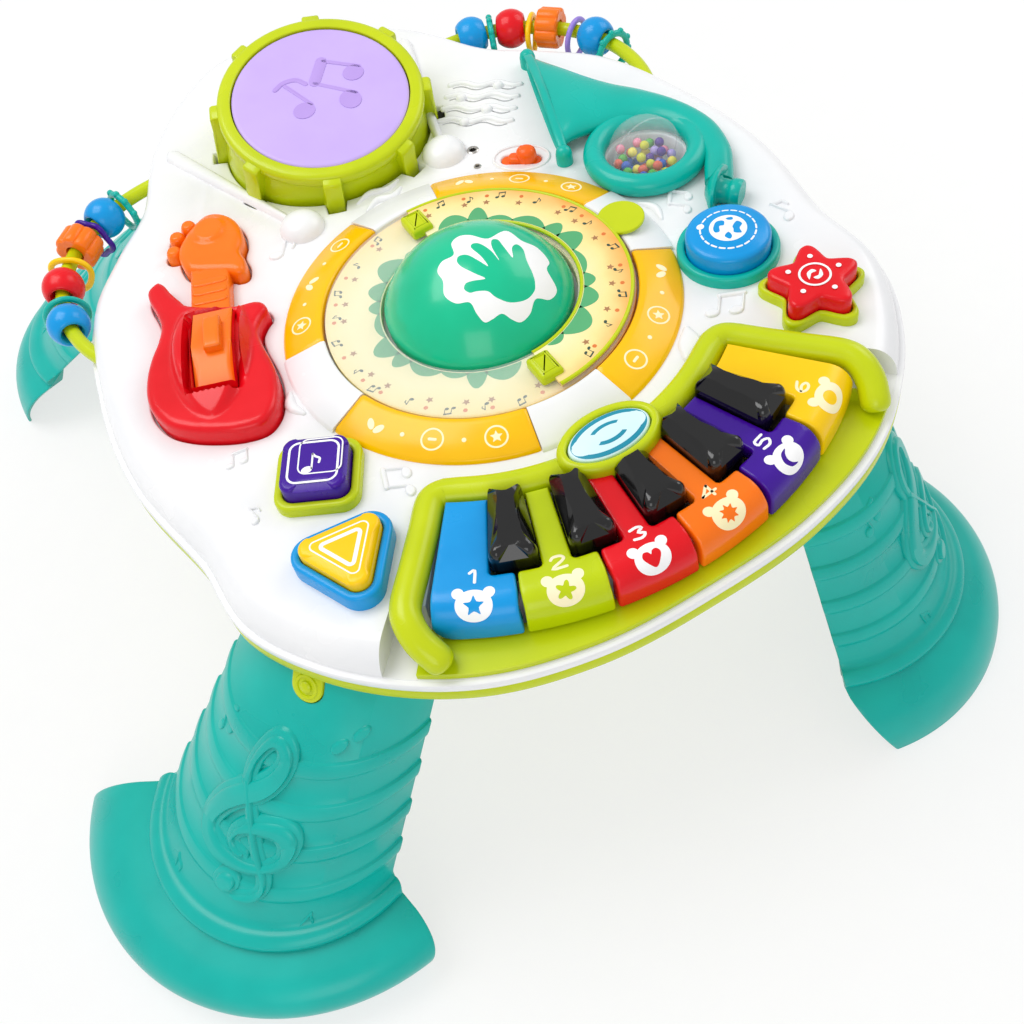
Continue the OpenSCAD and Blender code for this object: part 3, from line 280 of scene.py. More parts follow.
def slab(outline, steps):
    """A plate with the outline's shape; steps are (inset, height) from its low to its high face."""
    p = np.array(outline, float)
    if np.sum(p[:, 0] * np.roll(p[:, 1], -1) - p[:, 1] * np.roll(p[:, 0], -1)) < 0:
        p = p[::-1]
    return loft([[(x, y, z) for x, y in inset_loop(p, d)] for d, z in steps])


def smooth_loop(p, s=6):
    """A closed smooth outline through points, s steps from each to the next."""
    p = np.array(p, float)
    a, c, d = np.roll(p, 1, 0), np.roll(p, -1, 0), np.roll(p, -2, 0)
    out = []
    for i in range(len(p)):
        for k in range(s):
            t = k / s
            out.append(0.5 * (2 * p[i] + (c[i] - a[i]) * t + (2 * a[i] - 5 * p[i] + 4 * c[i] - d[i]) * t ** 2
                              + (3 * p[i] - a[i] - 3 * c[i] + d[i]) * t ** 3))
    return np.array(out)


def smooth_line(p, s=6):
    """An open smooth line through points."""
    p = np.array(p, float)
    q = np.vstack([2 * p[0] - p[1], p, 2 * p[-1] - p[-2]])
    out = []
    for i in range(1, len(q) - 2):
        a, b, c, d = q[i - 1], q[i], q[i + 1], q[i + 2]
        for k in range(s):
            t = k / s
            out.append(0.5 * (2 * b + (c - a) * t + (2 * a - 5 * b + 4 * c - d) * t ** 2
                              + (3 * b - a - 3 * c + d) * t ** 3))
    out.append(p[-1])
    return np.array(out)


def round_loop(x, y, r, n=48, ry=None, turn=0.0):
    """A circle or oval, turned by degrees."""
    c, s = math.cos(math.radians(turn)), math.sin(math.radians(turn))
    out = []
    for i in range(n):
        u, v = r * math.cos(2 * math.pi * i / n), (ry or r) * math.sin(2 * math.pi * i / n)
        out.append((x + u * c - v * s, y + u * s + v * c))
    return np.array(out)


def arc(r, a, b, n):
    """n points on a circle of radius r, from angle a to angle b in degrees."""
    return [(r * math.cos(t), r * math.sin(t)) for t in np.radians(np.linspace(a, b, n))]


def sector_loop(r1, r2, a, b, n=40):
    """The outline of a piece of a ring, from angle a to angle b."""
    t = np.radians(np.linspace(a, b, n))
    outer = np.stack([r2 * np.cos(t), r2 * np.sin(t)], 1)
    inner = np.stack([r1 * np.cos(t[::-1]), r1 * np.sin(t[::-1])], 1)
    return np.vstack([outer, inner])


def rotated(p, turn, at=(0, 0)):
    """2-D points turned by degrees and then moved."""
    c, s = math.cos(math.radians(turn)), math.sin(math.radians(turn))
    p = np.array(p, float)
    return np.stack([p[:, 0] * c - p[:, 1] * s + at[0], p[:, 0] * s + p[:, 1] * c + at[1]], 1)


def cut(target, cutters):
    """Cuts closed parts out of a piece for good."""
    tool = bpy.data.objects.new("cutter", mesh_of("cutter", cutters))
    scene.collection.objects.link(tool)
    change = target.modifiers.new("cut", "BOOLEAN")
    change.operation, change.solver, change.object, change.use_self = "DIFFERENCE", "EXACT", tool, True
    done = bpy.data.meshes.new_from_object(target.evaluated_get(bpy.context.evaluated_depsgraph_get()))
    target.modifiers.clear()
    target.data = done
    bpy.data.objects.remove(tool)
    done.polygons.foreach_set("use_smooth", [True] * len(done.polygons))
    done.set_sharp_from_angle(angle=math.radians(35))


guitar_loop = smooth_loop([
    (78.5, 26.1), (73.6, 31.0), (66.5, 30.4), (56.6, 26.8), (44.7, 24.1), (33.2, 25.8), (22.4, 29.1), (10.4, 31.1),
    (-2.1, 31.0), (-12.8, 28.0), (-23.6, 20.6), (-30.3, 10.1), (-34.5, -1.9), (-36.7, -13.9), (-35.7, -25.2),
    (-29.9, -31.1), (-21.1, -33.9), (-7.9, -34.2), (4.1, -31.9), (18.1, -27.5), (28.1, -25.8), (35.8, -28.3),
    (40.9, -31.3), (46.4, -29.6), (48.6, -24.5), (48.2, -15.8), (51.0, -4.0), (56.1, 9.3), (61.2, 13.7), (69.2, 18.9),
    (76.1, 22.5)], 5)
head_loop = smooth_loop([
    (76.5, -12.0), (82.9, 8.1), (92.0, 13.9), (101.8, 15.2), (111.6, 11.9), (120.8, 6.3), (126.4, -0.3), (126.0, -7.7),
    (120.0, -15.0), (110.9, -19.3), (101.0, -20.3), (92.1, -18.7), (83.4, -21.1), (75.7, -20.4), (74.4, -16.3)], 5)
head_pegs = [(123.2, 10.2), (115.8, 16.6), (104.4, 18.2)]
# the middle and the turn of what stands on the panel
guitar_at, guitar_turn = (-134.5, 34), 68.3
ball_at, ball_hole_r = (126.9, 39.6), 21.3
jack_at, microphone_at = (58, 109), (53, 95)
knob_at, knob_turn = (75, 84.5), -38
grille_at, grille_turn, grille_pitch = (81, 141), -40, 11
grille_rows = (-1.5, -0.5, 0.5, 1.5)
front = 270
well_half = 37.9
drum_tilt = math.radians(14)
# the middle of the drum's skin: how far back it is and how high above the panel
drum_y, drum_high = 170, 31


def drum_foot(grow):
    """The outline of the drum's wall and lugs where they meet the panel."""
    out = []
    for i in range(256):
        a = 2 * math.pi * i / 256
        off = abs(math.degrees(a) % 45 - 22.5)
        r = 59 + grow + (8 if off < math.degrees((5 + grow) / 66) else 0)
        low = -(drum_high + r * math.sin(a) * math.sin(drum_tilt)) / math.cos(drum_tilt)
        out.append((r * math.cos(a), drum_y + r * math.sin(a) * math.cos(drum_tilt) - low * math.sin(drum_tilt)))
    return np.array(out)


# Glossy white ABS: wide soft highlights, with the slight waviness of a large moulding.
white_abs = moulded("white_gloss_abs", "#F3F3F4", "#EDEEF0", 0.24, 14.0, bump=0.035)
rim_steps = [(8, -21), (1, -21), (0.3, -20.7), (0, -20), (0, -17), (0.3, -16.3), (1, -16), (2.8, -16)]
rim_steps += [(15 - 12 * math.cos(math.radians(t)), -16 + 16 * math.sin(math.radians(t))) for t in range(2, 91, 8)]
rim_steps += [(15.6, 0)]
panel = piece("white_panel", [loft([rim_ring(d, z) for d, z in rim_steps])], white_abs, replaces=["top_panel"])

eased = [(-0.05, -0.9), (-0.25, -0.45), (-0.55, -0.15), (-1.1, 0.02), (-1.1, 3)]
tube_out = 42.8
well = np.vstack([
    sector_loop(176, 320, front - tube_out, front + tube_out, 60)[:60],
    arc(176, front + tube_out, front + well_half, 2),
    arc(125.5, front + well_half, front - well_half, 40),
    arc(176, front - well_half, front - tube_out, 2)])
wave = [(-19 + 38 * i / 24, 0.55 + 1.6 * math.sin(i * math.pi / 6)) for i in range(25)]
wave += [(-19 + 38 * i / 24, -0.55 + 1.6 * math.sin(i * math.pi / 6)) for i in range(24, -1, -1)]
wave = wave[::-1]
openings = [slab(well, [(0, -15.7), (0, 40)])]
openings += [slab(drum_foot(0.9), [(0, -9), (0, -0.8), (-0.3, -0.3), (-0.9, 0.02), (-0.9, 3)])]
openings += [slab(rotated(inset_loop(guitar_loop, -1.0), guitar_turn, guitar_at), [(0, -5)] + eased)]
openings += [slab(rotated(inset_loop(head_loop[::-1], -1.0), guitar_turn, guitar_at), [(0, -5.2)] + eased)]
openings += [slab(rotated(round_loop(x, y, 5.6, 36), guitar_turn, guitar_at), [(0, -5.3)] + eased)
             for x, y in head_pegs]
openings += [slab(round_loop(*ball_at, ball_hole_r, 96), [(0, -18), (0, -1), (-0.4, -0.4), (-1, 0.02), (-1, 3)])]
openings += [slab(round_loop(*jack_at, 3.4, 32), [(0, -6), (0, 2)]),
             slab(round_loop(*microphone_at, 1.9, 32), [(0, -5), (0, 2)])]
stadium = [(7.5 + 4 * math.cos(a), 4 * math.sin(a)) for a in np.linspace(-math.pi / 2, math.pi / 2, 12)]
stadium += [(-7.5 + 4 * math.cos(a), 4 * math.sin(a)) for a in np.linspace(math.pi / 2, 3 * math.pi / 2, 12)]
openings += [slab(rotated(stadium, knob_turn, knob_at), [(0, -7), (0, -0.8), (-0.3, -0.3), (-0.8, 0.02), (-0.8, 3)])]
for k in grille_rows:
    openings += [slab(rotated(np.array(wave) + (0, k * grille_pitch), grille_turn, grille_at), [(0, -5), (0, 2)])]
cut(panel, openings)


def inside(points, loops):
    """Which points lie inside closed loops, where a loop within another is a hole."""
    out = np.zeros(len(points), bool)
    x, y = points[:, 0][:, None], points[:, 1][:, None]
    for loop in loops:
        x1, y1 = loop[:, 0][None], loop[:, 1][None]
        x2, y2 = np.roll(loop[:, 0], -1)[None], np.roll(loop[:, 1], -1)[None]
        with np.errstate(divide="ignore", invalid="ignore"):
            hit = ((y1 > y) != (y2 > y)) & (x < (x2 - x1) * (y - y1) / (y2 - y1) + x1)
        out ^= (hit.sum(1) % 2).astype(bool)
    return out


def to_edge(points, loops):
    """Each point's distance to the nearest loop."""
    best = np.full(len(points), 1e9)
    for loop in loops:
        a, b = loop, np.roll(loop, -1, 0)
        ab = b - a
        for k in range(0, len(points), 2000):
            p = points[k:k + 2000][:, None]
            t = np.clip(((p - a) * ab).sum(2) / np.maximum((ab * ab).sum(1), 1e-12), 0, 1)
            near = a + t[..., None] * ab
            best[k:k + 2000] = np.minimum(best[k:k + 2000], np.sqrt(((p - near) ** 2).sum(2)).min(1))
    return best


def rounded(d, width):
    """The share of its full height that a pad has at a distance d from its rounded edge."""
    return np.sqrt(np.clip(1 - (1 - np.minimum(d / width, 1)) ** 2, 0, 1))


def relief(loops, surface, height, edge=0.8, step=None, skirt=0.4):
    """A raised pad inside loops, laid on a surface that maps (x, y, h) to a point. Its edge is
    rounded over the width edge; step is the mesh size that a curved surface needs inside, and
    skirt is how far its walls go down, or the height at which they end at each place."""
    loops = [np.array(l, float) for l in loops]
    shape = height if callable(height) else ((lambda x, y, d: height * rounded(d, edge)) if edge > 0.2
                                             else (lambda x, y, d: np.full(len(x), float(height))))
    extra = []
    if edge > 0.2:
        for share in (0.12, 0.35, 0.65, 1.0):
            for loop in loops:
                for s in (1, -1):
                    q = inset_loop(loop, s * share * edge)
                    keep = inside(q, loops) & (to_edge(q, loops) > share * edge * 0.85)
                    extra.append(q[keep])
    if step:
        lo = np.min([l.min(0) for l in loops], 0)
        hi = np.max([l.max(0) for l in loops], 0)
        gx, gy = np.meshgrid(np.arange(lo[0], hi[0], step), np.arange(lo[1], hi[1], step * 0.87))
        gx[1::2] += step / 2
        grid = np.stack([gx.ravel(), gy.ravel()], 1)
        grid = grid[inside(grid, loops)]
        extra.append(grid[to_edge(grid, loops) > max(edge * 1.15, step * 0.45)])
    points, edges = [], []
    for loop in loops:
        n = len(points)
        points += [Vector(p) for p in loop]
        edges += [(n + i, n + (i + 1) % len(loop)) for i in range(len(loop))]
    points += [Vector(p) for more in extra for p in more]
    made = delaunay_2d_cdt(points, edges, [], 0, 1e-5)
    at = np.array([tuple(v) for v in made[0]])
    middles = np.array([at[list(f)].mean(0) for f in made[2]])
    faces = [tuple(f) for f, k in zip(made[2], inside(middles, loops)) if k]
    h = shape(at[:, 0], at[:, 1], to_edge(at, loops))
    top = [surface(x, y, z) for (x, y), z in zip(at, h)]
    count = {}
    for f in faces:
        for i in range(len(f)):
            count[(f[i], f[(i + 1) % len(f)])] = 1
    low = {}
    walls = []
    for a, b in count:
        if (b, a) not in count:
            for v in (a, b):
                if v not in low:
                    low[v] = len(top)
                    top.append(surface(at[v][0], at[v][1], skirt(at[v][0], at[v][1]) if callable(skirt) else -skirt))
            walls.append((a, low[a], low[b], b))
    return top, faces + walls


def ribbon(line, width, surface, height, edge=0.5, skirt=0.4, closed=False):
    """A raised stripe along a line; width is one number or one for each point."""
    line = np.array(line, float)
    w = np.full(len(line), width / 2.0) if np.isscalar(width) else np.array(width, float) / 2
    if closed:
        way = np.roll(line, -1, 0) - np.roll(line, 1, 0)
    else:
        way = np.gradient(line, axis=0)
    way /= np.maximum(np.linalg.norm(way, axis=1), 1e-9)[:, None]
    if not closed:
        caps = [math.radians(a) for a in (88, 60, 30)]
        line = np.vstack([[line[0] - way[0] * w[0] * math.sin(a) for a in caps], line,
                          [line[-1] + way[-1] * w[-1] * math.sin(a) for a in caps[::-1]]])
        w = np.concatenate([[w[0] * math.cos(a) for a in caps], w, [w[-1] * math.cos(a) for a in caps[::-1]]])
        way = np.vstack([[way[0]] * 3, way, [way[-1]] * 3])
    rings = []
    for p, t, k in zip(line, way, w):
        e = min(edge, k * 0.98)
        level = height * min(1.0, k / max(edge, 1e-6)) if edge > 0.2 else height
        rings.append([surface(p[0] - t[1] * s, p[1] + t[0] * s, h) for s, h in (
            (-k, -skirt), (-k, 0), (-k + 0.3 * e, level * 0.71), (-k + e, level), (0, level), (k - e, level),
            (k - 0.3 * e, level * 0.71), (k, 0), (k, -skirt))])
    n = len(rings)
    points = [p for r in rings for p in r]
    faces = []
    for j in range(n if closed else n - 1):
        for i in range(8):
            a, b = j * 9 + i, ((j + 1) % n) * 9 + i
            faces.append((a, b, b + 1, a + 1))
    return points, faces


def deck(at=(0, 0), turn=0.0, z=0.0):
    """The flat surface at height z, with its own x and y turned and moved."""
    c, s = math.cos(math.radians(turn)), math.sin(math.radians(turn))
    return lambda x, y, h: (at[0] + x * c - y * s, at[1] + x * s + y * c, z + h)


def shapes(drawing, surface, height, edge=0.8, step=None, skirt=0.4):
    """Pads and stripes of one drawing: ("area", loops) or ("line", points, width) or ("ring", points, width)."""
    out = []
    for kind, data, *more in drawing:
        if kind == "area":
            out.append(relief(data, surface, height, edge, step, skirt))
        else:
            out.append(ribbon(data, more[0], surface, height, min(edge, 0.5 * np.max(more[0])), skirt, kind == "ring"))
    return out


def quaver(x, y, s, turn=0.0):
    """A single note with its flag, s times 10 mm high."""
    head = ("area", [rotated(round_loop(0, 0, 2.6 * s, 24, 1.9 * s, 20), turn, (x, y))])
    stem = ("line", rotated([(2.2 * s, 0.6 * s), (2.2 * s, 9 * s)], turn, (x, y)), 0.9 * s)
    flag = ("line", rotated(smooth_line([(2.2 * s, 9 * s), (3.6 * s, 7.4 * s), (5.6 * s, 6.2 * s), (5.4 * s, 3.8 * s)],
                                        4), turn, (x, y)), 1.1 * s)
    return [head, stem, flag]


def beamed(x, y, s, turn=0.0):
    """Two notes under one slanting beam."""
    out = []
    for dx, dy in ((0, 0), (7.5, 1.6)):
        out.append(("area", [rotated(round_loop(dx * s, dy * s, 2.4 * s, 24, 1.8 * s, 20), turn, (x, y))]))
        out.append(("line", rotated([((dx + 2.0) * s, (dy + 0.5) * s), ((dx + 2.0) * s, (dy + 8.2) * s)], turn, (x, y)),
                    0.9 * s))
    out.append(("line", rotated([(2.0 * s, 8.0 * s), (9.5 * s, 9.6 * s)], turn, (x, y)), 2.0 * s))
    return out


def star_loop(x, y, r, points=5, deep=0.5, turn=90.0):
    """A small printed star with slightly rounded points."""
    out = []
    for i in range(points * 2):
        a = math.radians(turn + i * 180 / points)
        k = r if i % 2 == 0 else r * deep
        out.append((x + k * math.cos(a), y + k * math.sin(a)))
    return smooth_loop(out, 3)


pads = []
for x, y, s, turn, kind in ((-68, 103, 1.5, -35, 0), (-84, -81, 1.4, 60, 1), (-150, -53, 0.9, 10, 0),
                            (-147, -16, 0.9, -20, 1), (120, -8, 1.3, 40, 1), (156, -45, 1.4, 20, 0),
                            (86, -76, 1.5, -40, 1)):
    pads += shapes((quaver if kind == 0 else beamed)(0, 0, s), deck((x, y), turn), 1.3, 1.0)
stick_balls = [((75, 223), (44, 117)), ((-81, 220), (-47, 114))]
for tip, ball in stick_balls:
    pads.append(ribbon(smooth_line([tip, ((tip[0] + ball[0]) / 2, (tip[1] + ball[1]) / 2), ball], 8),
                       [9.5 - 5 * i / 16 for i in range(17)], deck(), 3.4, 2.4))
    pads.append(relief([round_loop(ball[0], ball[1], 12.5, 48)], deck(),
                       lambda x, y, d: 8.5 * np.sqrt(np.clip(1 - ((12.5 - np.minimum(d, 12.5)) / 12.5) ** 2.2, 0, 1)),
                       4, 1.6))
for line, width in (([(-12, 103), (-4, 107), (4, 104), (11, 108)], 5.5),
                    ([(-14, 112), (-5, 115), (4, 112), (13, 115)], 4.0),
                    ([(60, -92), (66, -86), (70, -78)], 12.0), ([(-104, 8), (-107, 0), (-104, -8)], 6.0),
                    ([(104, 12), (108, 4), (106, -5)], 5.0)):
    line = smooth_line(line, 6)
    pads.append(ribbon(line, [width * (0.35 + 0.65 * math.sin(math.pi * (i + 0.5) / len(line)))
                              for i in range(len(line))], deck(), 2.2, 2.4))
pads.append(ribbon(rotated(round_loop(0, 0, 15.5, 64, 10.5), -38, (75.5, 85)), 1.6, deck(), 1.0, 0.8, closed=True))
for k, x0 in ((-1.5, -6), (-0.5, 5), (0.5, -12), (1.5, 8)):
    bar = np.array([(-21 + 42 * i / 24, 3.4 + k * grille_pitch + 1.6 * math.sin((i - 1) * math.pi / 6))
                    for i in range(25)])
    pads.append(ribbon(rotated(bar, grille_turn, grille_at), 3.6, deck(), 1.6, 1.4))
    spot = rotated([(x0, k * grille_pitch + 1.5)], grille_turn, grille_at)[0]
    pads.append(relief([round_loop(spot[0], spot[1], 3.4, 28, 2.9, -20)], deck(), 2.6, 2.4))
piece("panel_reliefs", pads, white_abs, sharp=50)

# ---- Light covers -----------------------------------------------------------
# Four curved covers of clear yellow polycarbonate over the lamps round the
# disc, with the panel's white slope between them. Simple signs are printed on.


def turned(profile, a, b, n=48, closed=False):
    """A profile of (radius, height) corners, counter-clockwise, turned about the dome from angle a to b."""
    rings = []
    for t in np.radians(np.linspace(a, b, n + 1)[:-1] if closed else np.linspace(a, b, n + 1)):
        rings.append([(r * math.cos(t), r * math.sin(t), z) for r, z in profile])
    if closed:
        rings.append(rings[0])
    return loft(rings, (not closed, not closed))


# Amber polycarbonate: a deep warm yellow with sharp highlights.
yellow_cover = moulded("yellow_polycarbonate", "#FFC600", "#FBBB00", 0.2, 12.0)
# Screen inks: flat and nearly matt, so that signs read against the glossy plastic.
white_ink = moulded("white_screen_ink", "#FFFFFF", "#F6F6F6", 0.45, 4.0, bump=0.02)
cream_ink = moulded("cream_screen_ink", "#FFF6D0", "#FDF0BE", 0.45, 4.0, bump=0.02)
cover_side = [(100.6, -0.5), (100.8, 0.3), (100.2, 1.5), (99.2, 2.6), (83.6, 7.4), (81.6, 8.0), (80.0, 7.9),
              (79.4, 7.3), (79.3, 6), (79.3, -0.5)]
slope_side = [(r + (1.2 if r > 95 else -0.3), z - 0.1) for r, z in cover_side]
slopes = [turned(slope_side, a, b, 24) for a, b in ((76.2, 103.8), (164.2, 195.8), (256.2, 283.8), (344.2, 375.8))]
piece("white_slopes", slopes, white_abs)
covers = []
for mid in (46, 134, 226, 314):
    rings = []
    for a in np.linspace(-30, 30, 61):
        fade = min(1.0, (30 - abs(a)) / 0.9)
        lower = 0.9 * (1 - math.sqrt(1 - (1 - fade) ** 2)) if fade < 1 else 0.0
        t = math.radians(mid + a)
        rings.append([(r * math.cos(t), r * math.sin(t), z - lower) for r, z in cover_side])
    covers.append(loft(rings))
piece("yellow_light_covers", covers, yellow_cover, replaces=["light_covers"])


def slope(x, y, h):
    """The covers' sloping face: x along the ring at its middle radius, y outwards from 81.5 mm."""
    t = x / 91.0
    r = 81.5 + y * 0.957
    return (r * math.cos(t), r * math.sin(t), 7.43 - 0.3077 * (r - 83.6) + h)


signs = []
for mid, kinds in ((226, (2, 0, 1)), (314, (0, 1, 2)), (46, (1, 0, 2)), (134, (0, 2, 1))):
    for k, kind in enumerate(kinds):
        x0 = math.radians(mid + (k - 1) * 19) * 91
        if kind == 0:
            signs.append(("ring", round_loop(x0, 9.3, 5.2, 40), 0.9))
            signs.append(("line", [(x0 - 1.5, 9.3), (x0 + 1.5, 9.3)], 1.4))
        elif kind == 1:
            signs.append(("ring", round_loop(x0, 9.3, 5.2, 40), 0.9))
            signs.append(("area", [star_loop(x0, 9.3, 3.0, turn=-90)]))
        else:
            signs += [("area", [round_loop(x0 - 2.4, 9.3, 3.0, 24, 1.7, 50)]),
                      ("area", [round_loop(x0 + 2.6, 10.2, 3.0, 24, 1.7, -50)])]
        if k < 2:
            signs.append(("area", [round_loop(math.radians(mid + (k - 0.5) * 19) * 91, 9.3, 1.1, 20)]))
piece("cover_signs", shapes(signs, slope, 0.12, 0.05, 2.5, 0.3), cream_ink)

# ---- Picture disc and flip page ---------------------------------------------
# A printed card disc under a clear styrene cover, and a clear-edged page of
# lime plastic that flips over it on two lime clips. The picture is a plain
# landscape of hills, notes and dots.


def sunset_card(name):
    """Offset-printed card: cream near the dome and warm orange at the edge, with a fine dot screen."""
    made = bpy.data.materials.new(name)
    made.use_nodes = True
    tree = made.node_tree
    shader = tree.nodes["Principled BSDF"]
    place = add_node(tree, "ShaderNodeTexCoord")
    split = add_node(tree, "ShaderNodeSeparateXYZ", {0: place.outputs["Object"]})
    x = add_node(tree, "ShaderNodeMath", {0: split.outputs[0], 1: dome_at[0] / 1000}, operation="SUBTRACT")
    y = add_node(tree, "ShaderNodeMath", {0: split.outputs[1], 1: dome_at[1] / 1000}, operation="SUBTRACT")
    flat = add_node(tree, "ShaderNodeCombineXYZ", {0: x.outputs[0], 1: y.outputs[0]})
    far = add_node(tree, "ShaderNodeVectorMath", {0: flat.outputs[0]}, operation="LENGTH")
    cloud = add_node(tree, "ShaderNodeTexNoise", {"Vector": flat.outputs[0], "Scale": 60.0, "Detail": 2.0})
    side = add_node(tree, "ShaderNodeMath", {0: x.outputs[0], 1: 0.16, 2: far.outputs["Value"]},
                    operation="MULTIPLY_ADD")
    mix = add_node(tree, "ShaderNodeMath", {0: cloud.outputs["Fac"], 1: 0.012, 2: side.outputs[0]},
                   operation="MULTIPLY_ADD")
    level = add_node(tree, "ShaderNodeMapRange", {"Value": mix.outputs[0], "From Min": 0.060, "From Max": 0.096})
    ramp = add_node(tree, "ShaderNodeValToRGB", {"Fac": level.outputs[0]})
    ramp.color_ramp.elements[0].color = colour("#FFF4C4")
    ramp.color_ramp.elements[1].color = colour("#F5A23A")
    ramp.color_ramp.elements.new(0.5).color = colour("#FDE79C")
    screen = add_node(tree, "ShaderNodeTexVoronoi", {"Vector": flat.outputs[0], "Scale": 1000 / 0.9})
    dots = add_node(tree, "ShaderNodeMapRange", {"Value": screen.outputs["Distance"], "To Min": 0.04, "To Max": 0.0})
    tint = add_node(tree, "ShaderNodeMix", {"Factor": dots.outputs[0], 6: ramp.outputs[0], 7: colour("#E98B20")},
                    data_type="RGBA")
    tree.links.new(tint.outputs[2], shader.inputs["Base Color"])
    shader.inputs["Roughness"].default_value = 0.42
    return made


def clear_plastic(name, tone, alpha):
    """Clear moulded styrene: mostly see-through, with a glossy skin and faint scuffs in its gloss."""
    made = bpy.data.materials.new(name)
    made.use_nodes = True
    tree = made.node_tree
    shader = tree.nodes["Principled BSDF"]
    place = add_node(tree, "ShaderNodeTexCoord")
    scuff = add_node(tree, "ShaderNodeTexNoise",
                     {"Vector": place.outputs["Object"], "Scale": 1000 / 6.0, "Detail": 4.0})
    gloss = add_node(tree, "ShaderNodeMapRange", {"Value": scuff.outputs["Fac"], "To Min": 0.04, "To Max": 0.14})
    tint = add_node(tree, "ShaderNodeMix", {"Factor": scuff.outputs["Fac"], 6: colour(tone), 7: colour("#FFFFFF")},
                    data_type="RGBA")
    tree.links.new(tint.outputs[2], shader.inputs["Base Color"])
    tree.links.new(gloss.outputs[0], shader.inputs["Roughness"])
    shader.inputs["IOR"].default_value = 1.58
    shader.inputs["Alpha"].default_value = alpha
    return made


# Lime ABS: an opaque yellow-green with a soft gloss.
lime_abs = moulded("lime_gloss_abs", "#C9D70B", "#BFCF08", 0.24, 10.0)
# Coated card: printed colour with a dull sheen, seen through the cover.
card = sunset_card("printed_card")
# Clear styrene: hardly seen but for its reflections and its edge.
clear_cover = clear_plastic("clear_styrene", "#F2FAFF", 0.16)
piece("picture_card", [turned([(49.5, 0), (78, 0), (78, 6), (77.8, 6.2), (49.7, 6.2), (49.5, 6)], 0, 360, 120, True)],
      card, replaces=["picture_disc"])
piece("clear_disc_cover", [turned([(49.6, 6.5), (77.9, 6.5), (77.9, 7.6), (77.5, 8.0), (50.0, 8.0), (49.6, 7.6)], 0,
                                  360, 120, True)], clear_cover, replaces=["disc_cover"])
page = [turned([(51, 8.3), (77, 8.3), (77.1, 9.6), (76.8, 9.9), (51.3, 9.9), (51, 9.6)], -89.6, 89.6, 90)]
piece("flip_page_card", page, card, body="flip_page", replaces=["flip_page"])
tab = [p for p in round_loop(85, 0, 12, 72) if math.hypot(p[0], p[1]) > 76.8]
tab = sorted(tab, key=lambda p: math.atan2(p[1], p[0] - 80))
tab = np.vstack([tab, arc(76.4, 6, -6, 5)])
page_rims = [slab(tab, [(0.4, 8.3), (0, 8.7), (0, 9.9), (0.4, 10.3)])]
for r in (51.6, 76.4):
    rings = []
    for a in np.radians(np.linspace(-89.6, 89.6, 91)):
        rings.append([((r + 1.0 * math.cos(t)) * math.cos(a), (r + 1.0 * math.cos(t)) * math.sin(a),
                       9.5 + 1.0 * math.sin(t)) for t in np.linspace(0, 2 * math.pi, 13)[:-1]])
    page_rims.append(loft(rings))
piece("flip_page_rims", page_rims, lime_abs, body="flip_page")

# Offset inks: flat colour with no gloss of their own.
hill_inks = [moulded("rust_print_ink", "#E5813F", "#DE7636", 0.45, 4.0, bump=0.02),
             moulded("green_print_ink", "#5DB47A", "#55AA72", 0.45, 4.0, bump=0.02),
             moulded("brown_print_ink", "#B4835A", "#A97850", 0.45, 4.0, bump=0.02),
             moulded("dark_print_ink", "#3F5A4C", "#374F43", 0.45, 4.0, bump=0.02)]


def band(r1, r2, a, b):
    """A hill in the ring: its foot at radius r1, its crest rising to r2 between two angles."""
    t = np.linspace(0, 1, 18)
    crest = [(r1 + (r2 - r1) * math.sin(math.pi * k) ** 0.8) for k in t]
    outer = [(c * math.cos(math.radians(a + (b - a) * k)), c * math.sin(math.radians(a + (b - a) * k)))
             for c, k in zip(crest, t)]
    inner = [(r1 * math.cos(math.radians(a + (b - a) * k)), r1 * math.sin(math.radians(a + (b - a) * k)))
             for k in t[::-1][1:-1]]
    return ("area", [np.array(outer + inner)])


def landscape(lo, hi, r_in, r_out):
    """Hills, notes and dots along the ring from angle lo to hi, sorted by ink."""
    out = [[], [], [], []]
    a = lo + 5
    k = 0
    while a < hi - 14:
        wide = 12 + 5 * ((k * 5) % 3)
        b = min(a + wide, hi - 3)
        out[(k * 3 + 1) % 3].append(band(r_in, r_in + 3.5 + 2.2 * ((k * 7) % 4), a, b))
        mid = math.radians((a + b) / 2 + 4)
        r = r_out - 5.5 - (k % 2) * 1.5
        x, y = r * math.cos(mid), r * math.sin(mid)
        turn = math.degrees(mid) - 90
        out[3] += (quaver if k % 2 else beamed)(x, y, 0.42, turn)
        dot = math.radians(b)
        out[0].append(("area", [round_loop((r_out - 4) * math.cos(dot), (r_out - 4) * math.sin(dot), 1.1, 16)]))
        out[2].append(("area", [star_loop((r_out - 9) * math.cos(dot), (r_out - 9) * math.sin(dot), 2.0,
                                          turn=math.degrees(dot))]))
        a = b - 2
        k += 1
    return out


for label, span, z, r1, r2, carrier in (("disc", (93, 267), 6.22, 50.2, 77.4, "table"),
                                        ("page", (-86, 86), 9.92, 52.8, 75.4, "flip_page")):
    for ink, drawing in zip(hill_inks, landscape(span[0], span[1], r1, r2)):
        piece(label + "_" + ink.name, shapes(drawing, deck(z=z), 0.05, 0.04, None, 0.02), ink, body=carrier)

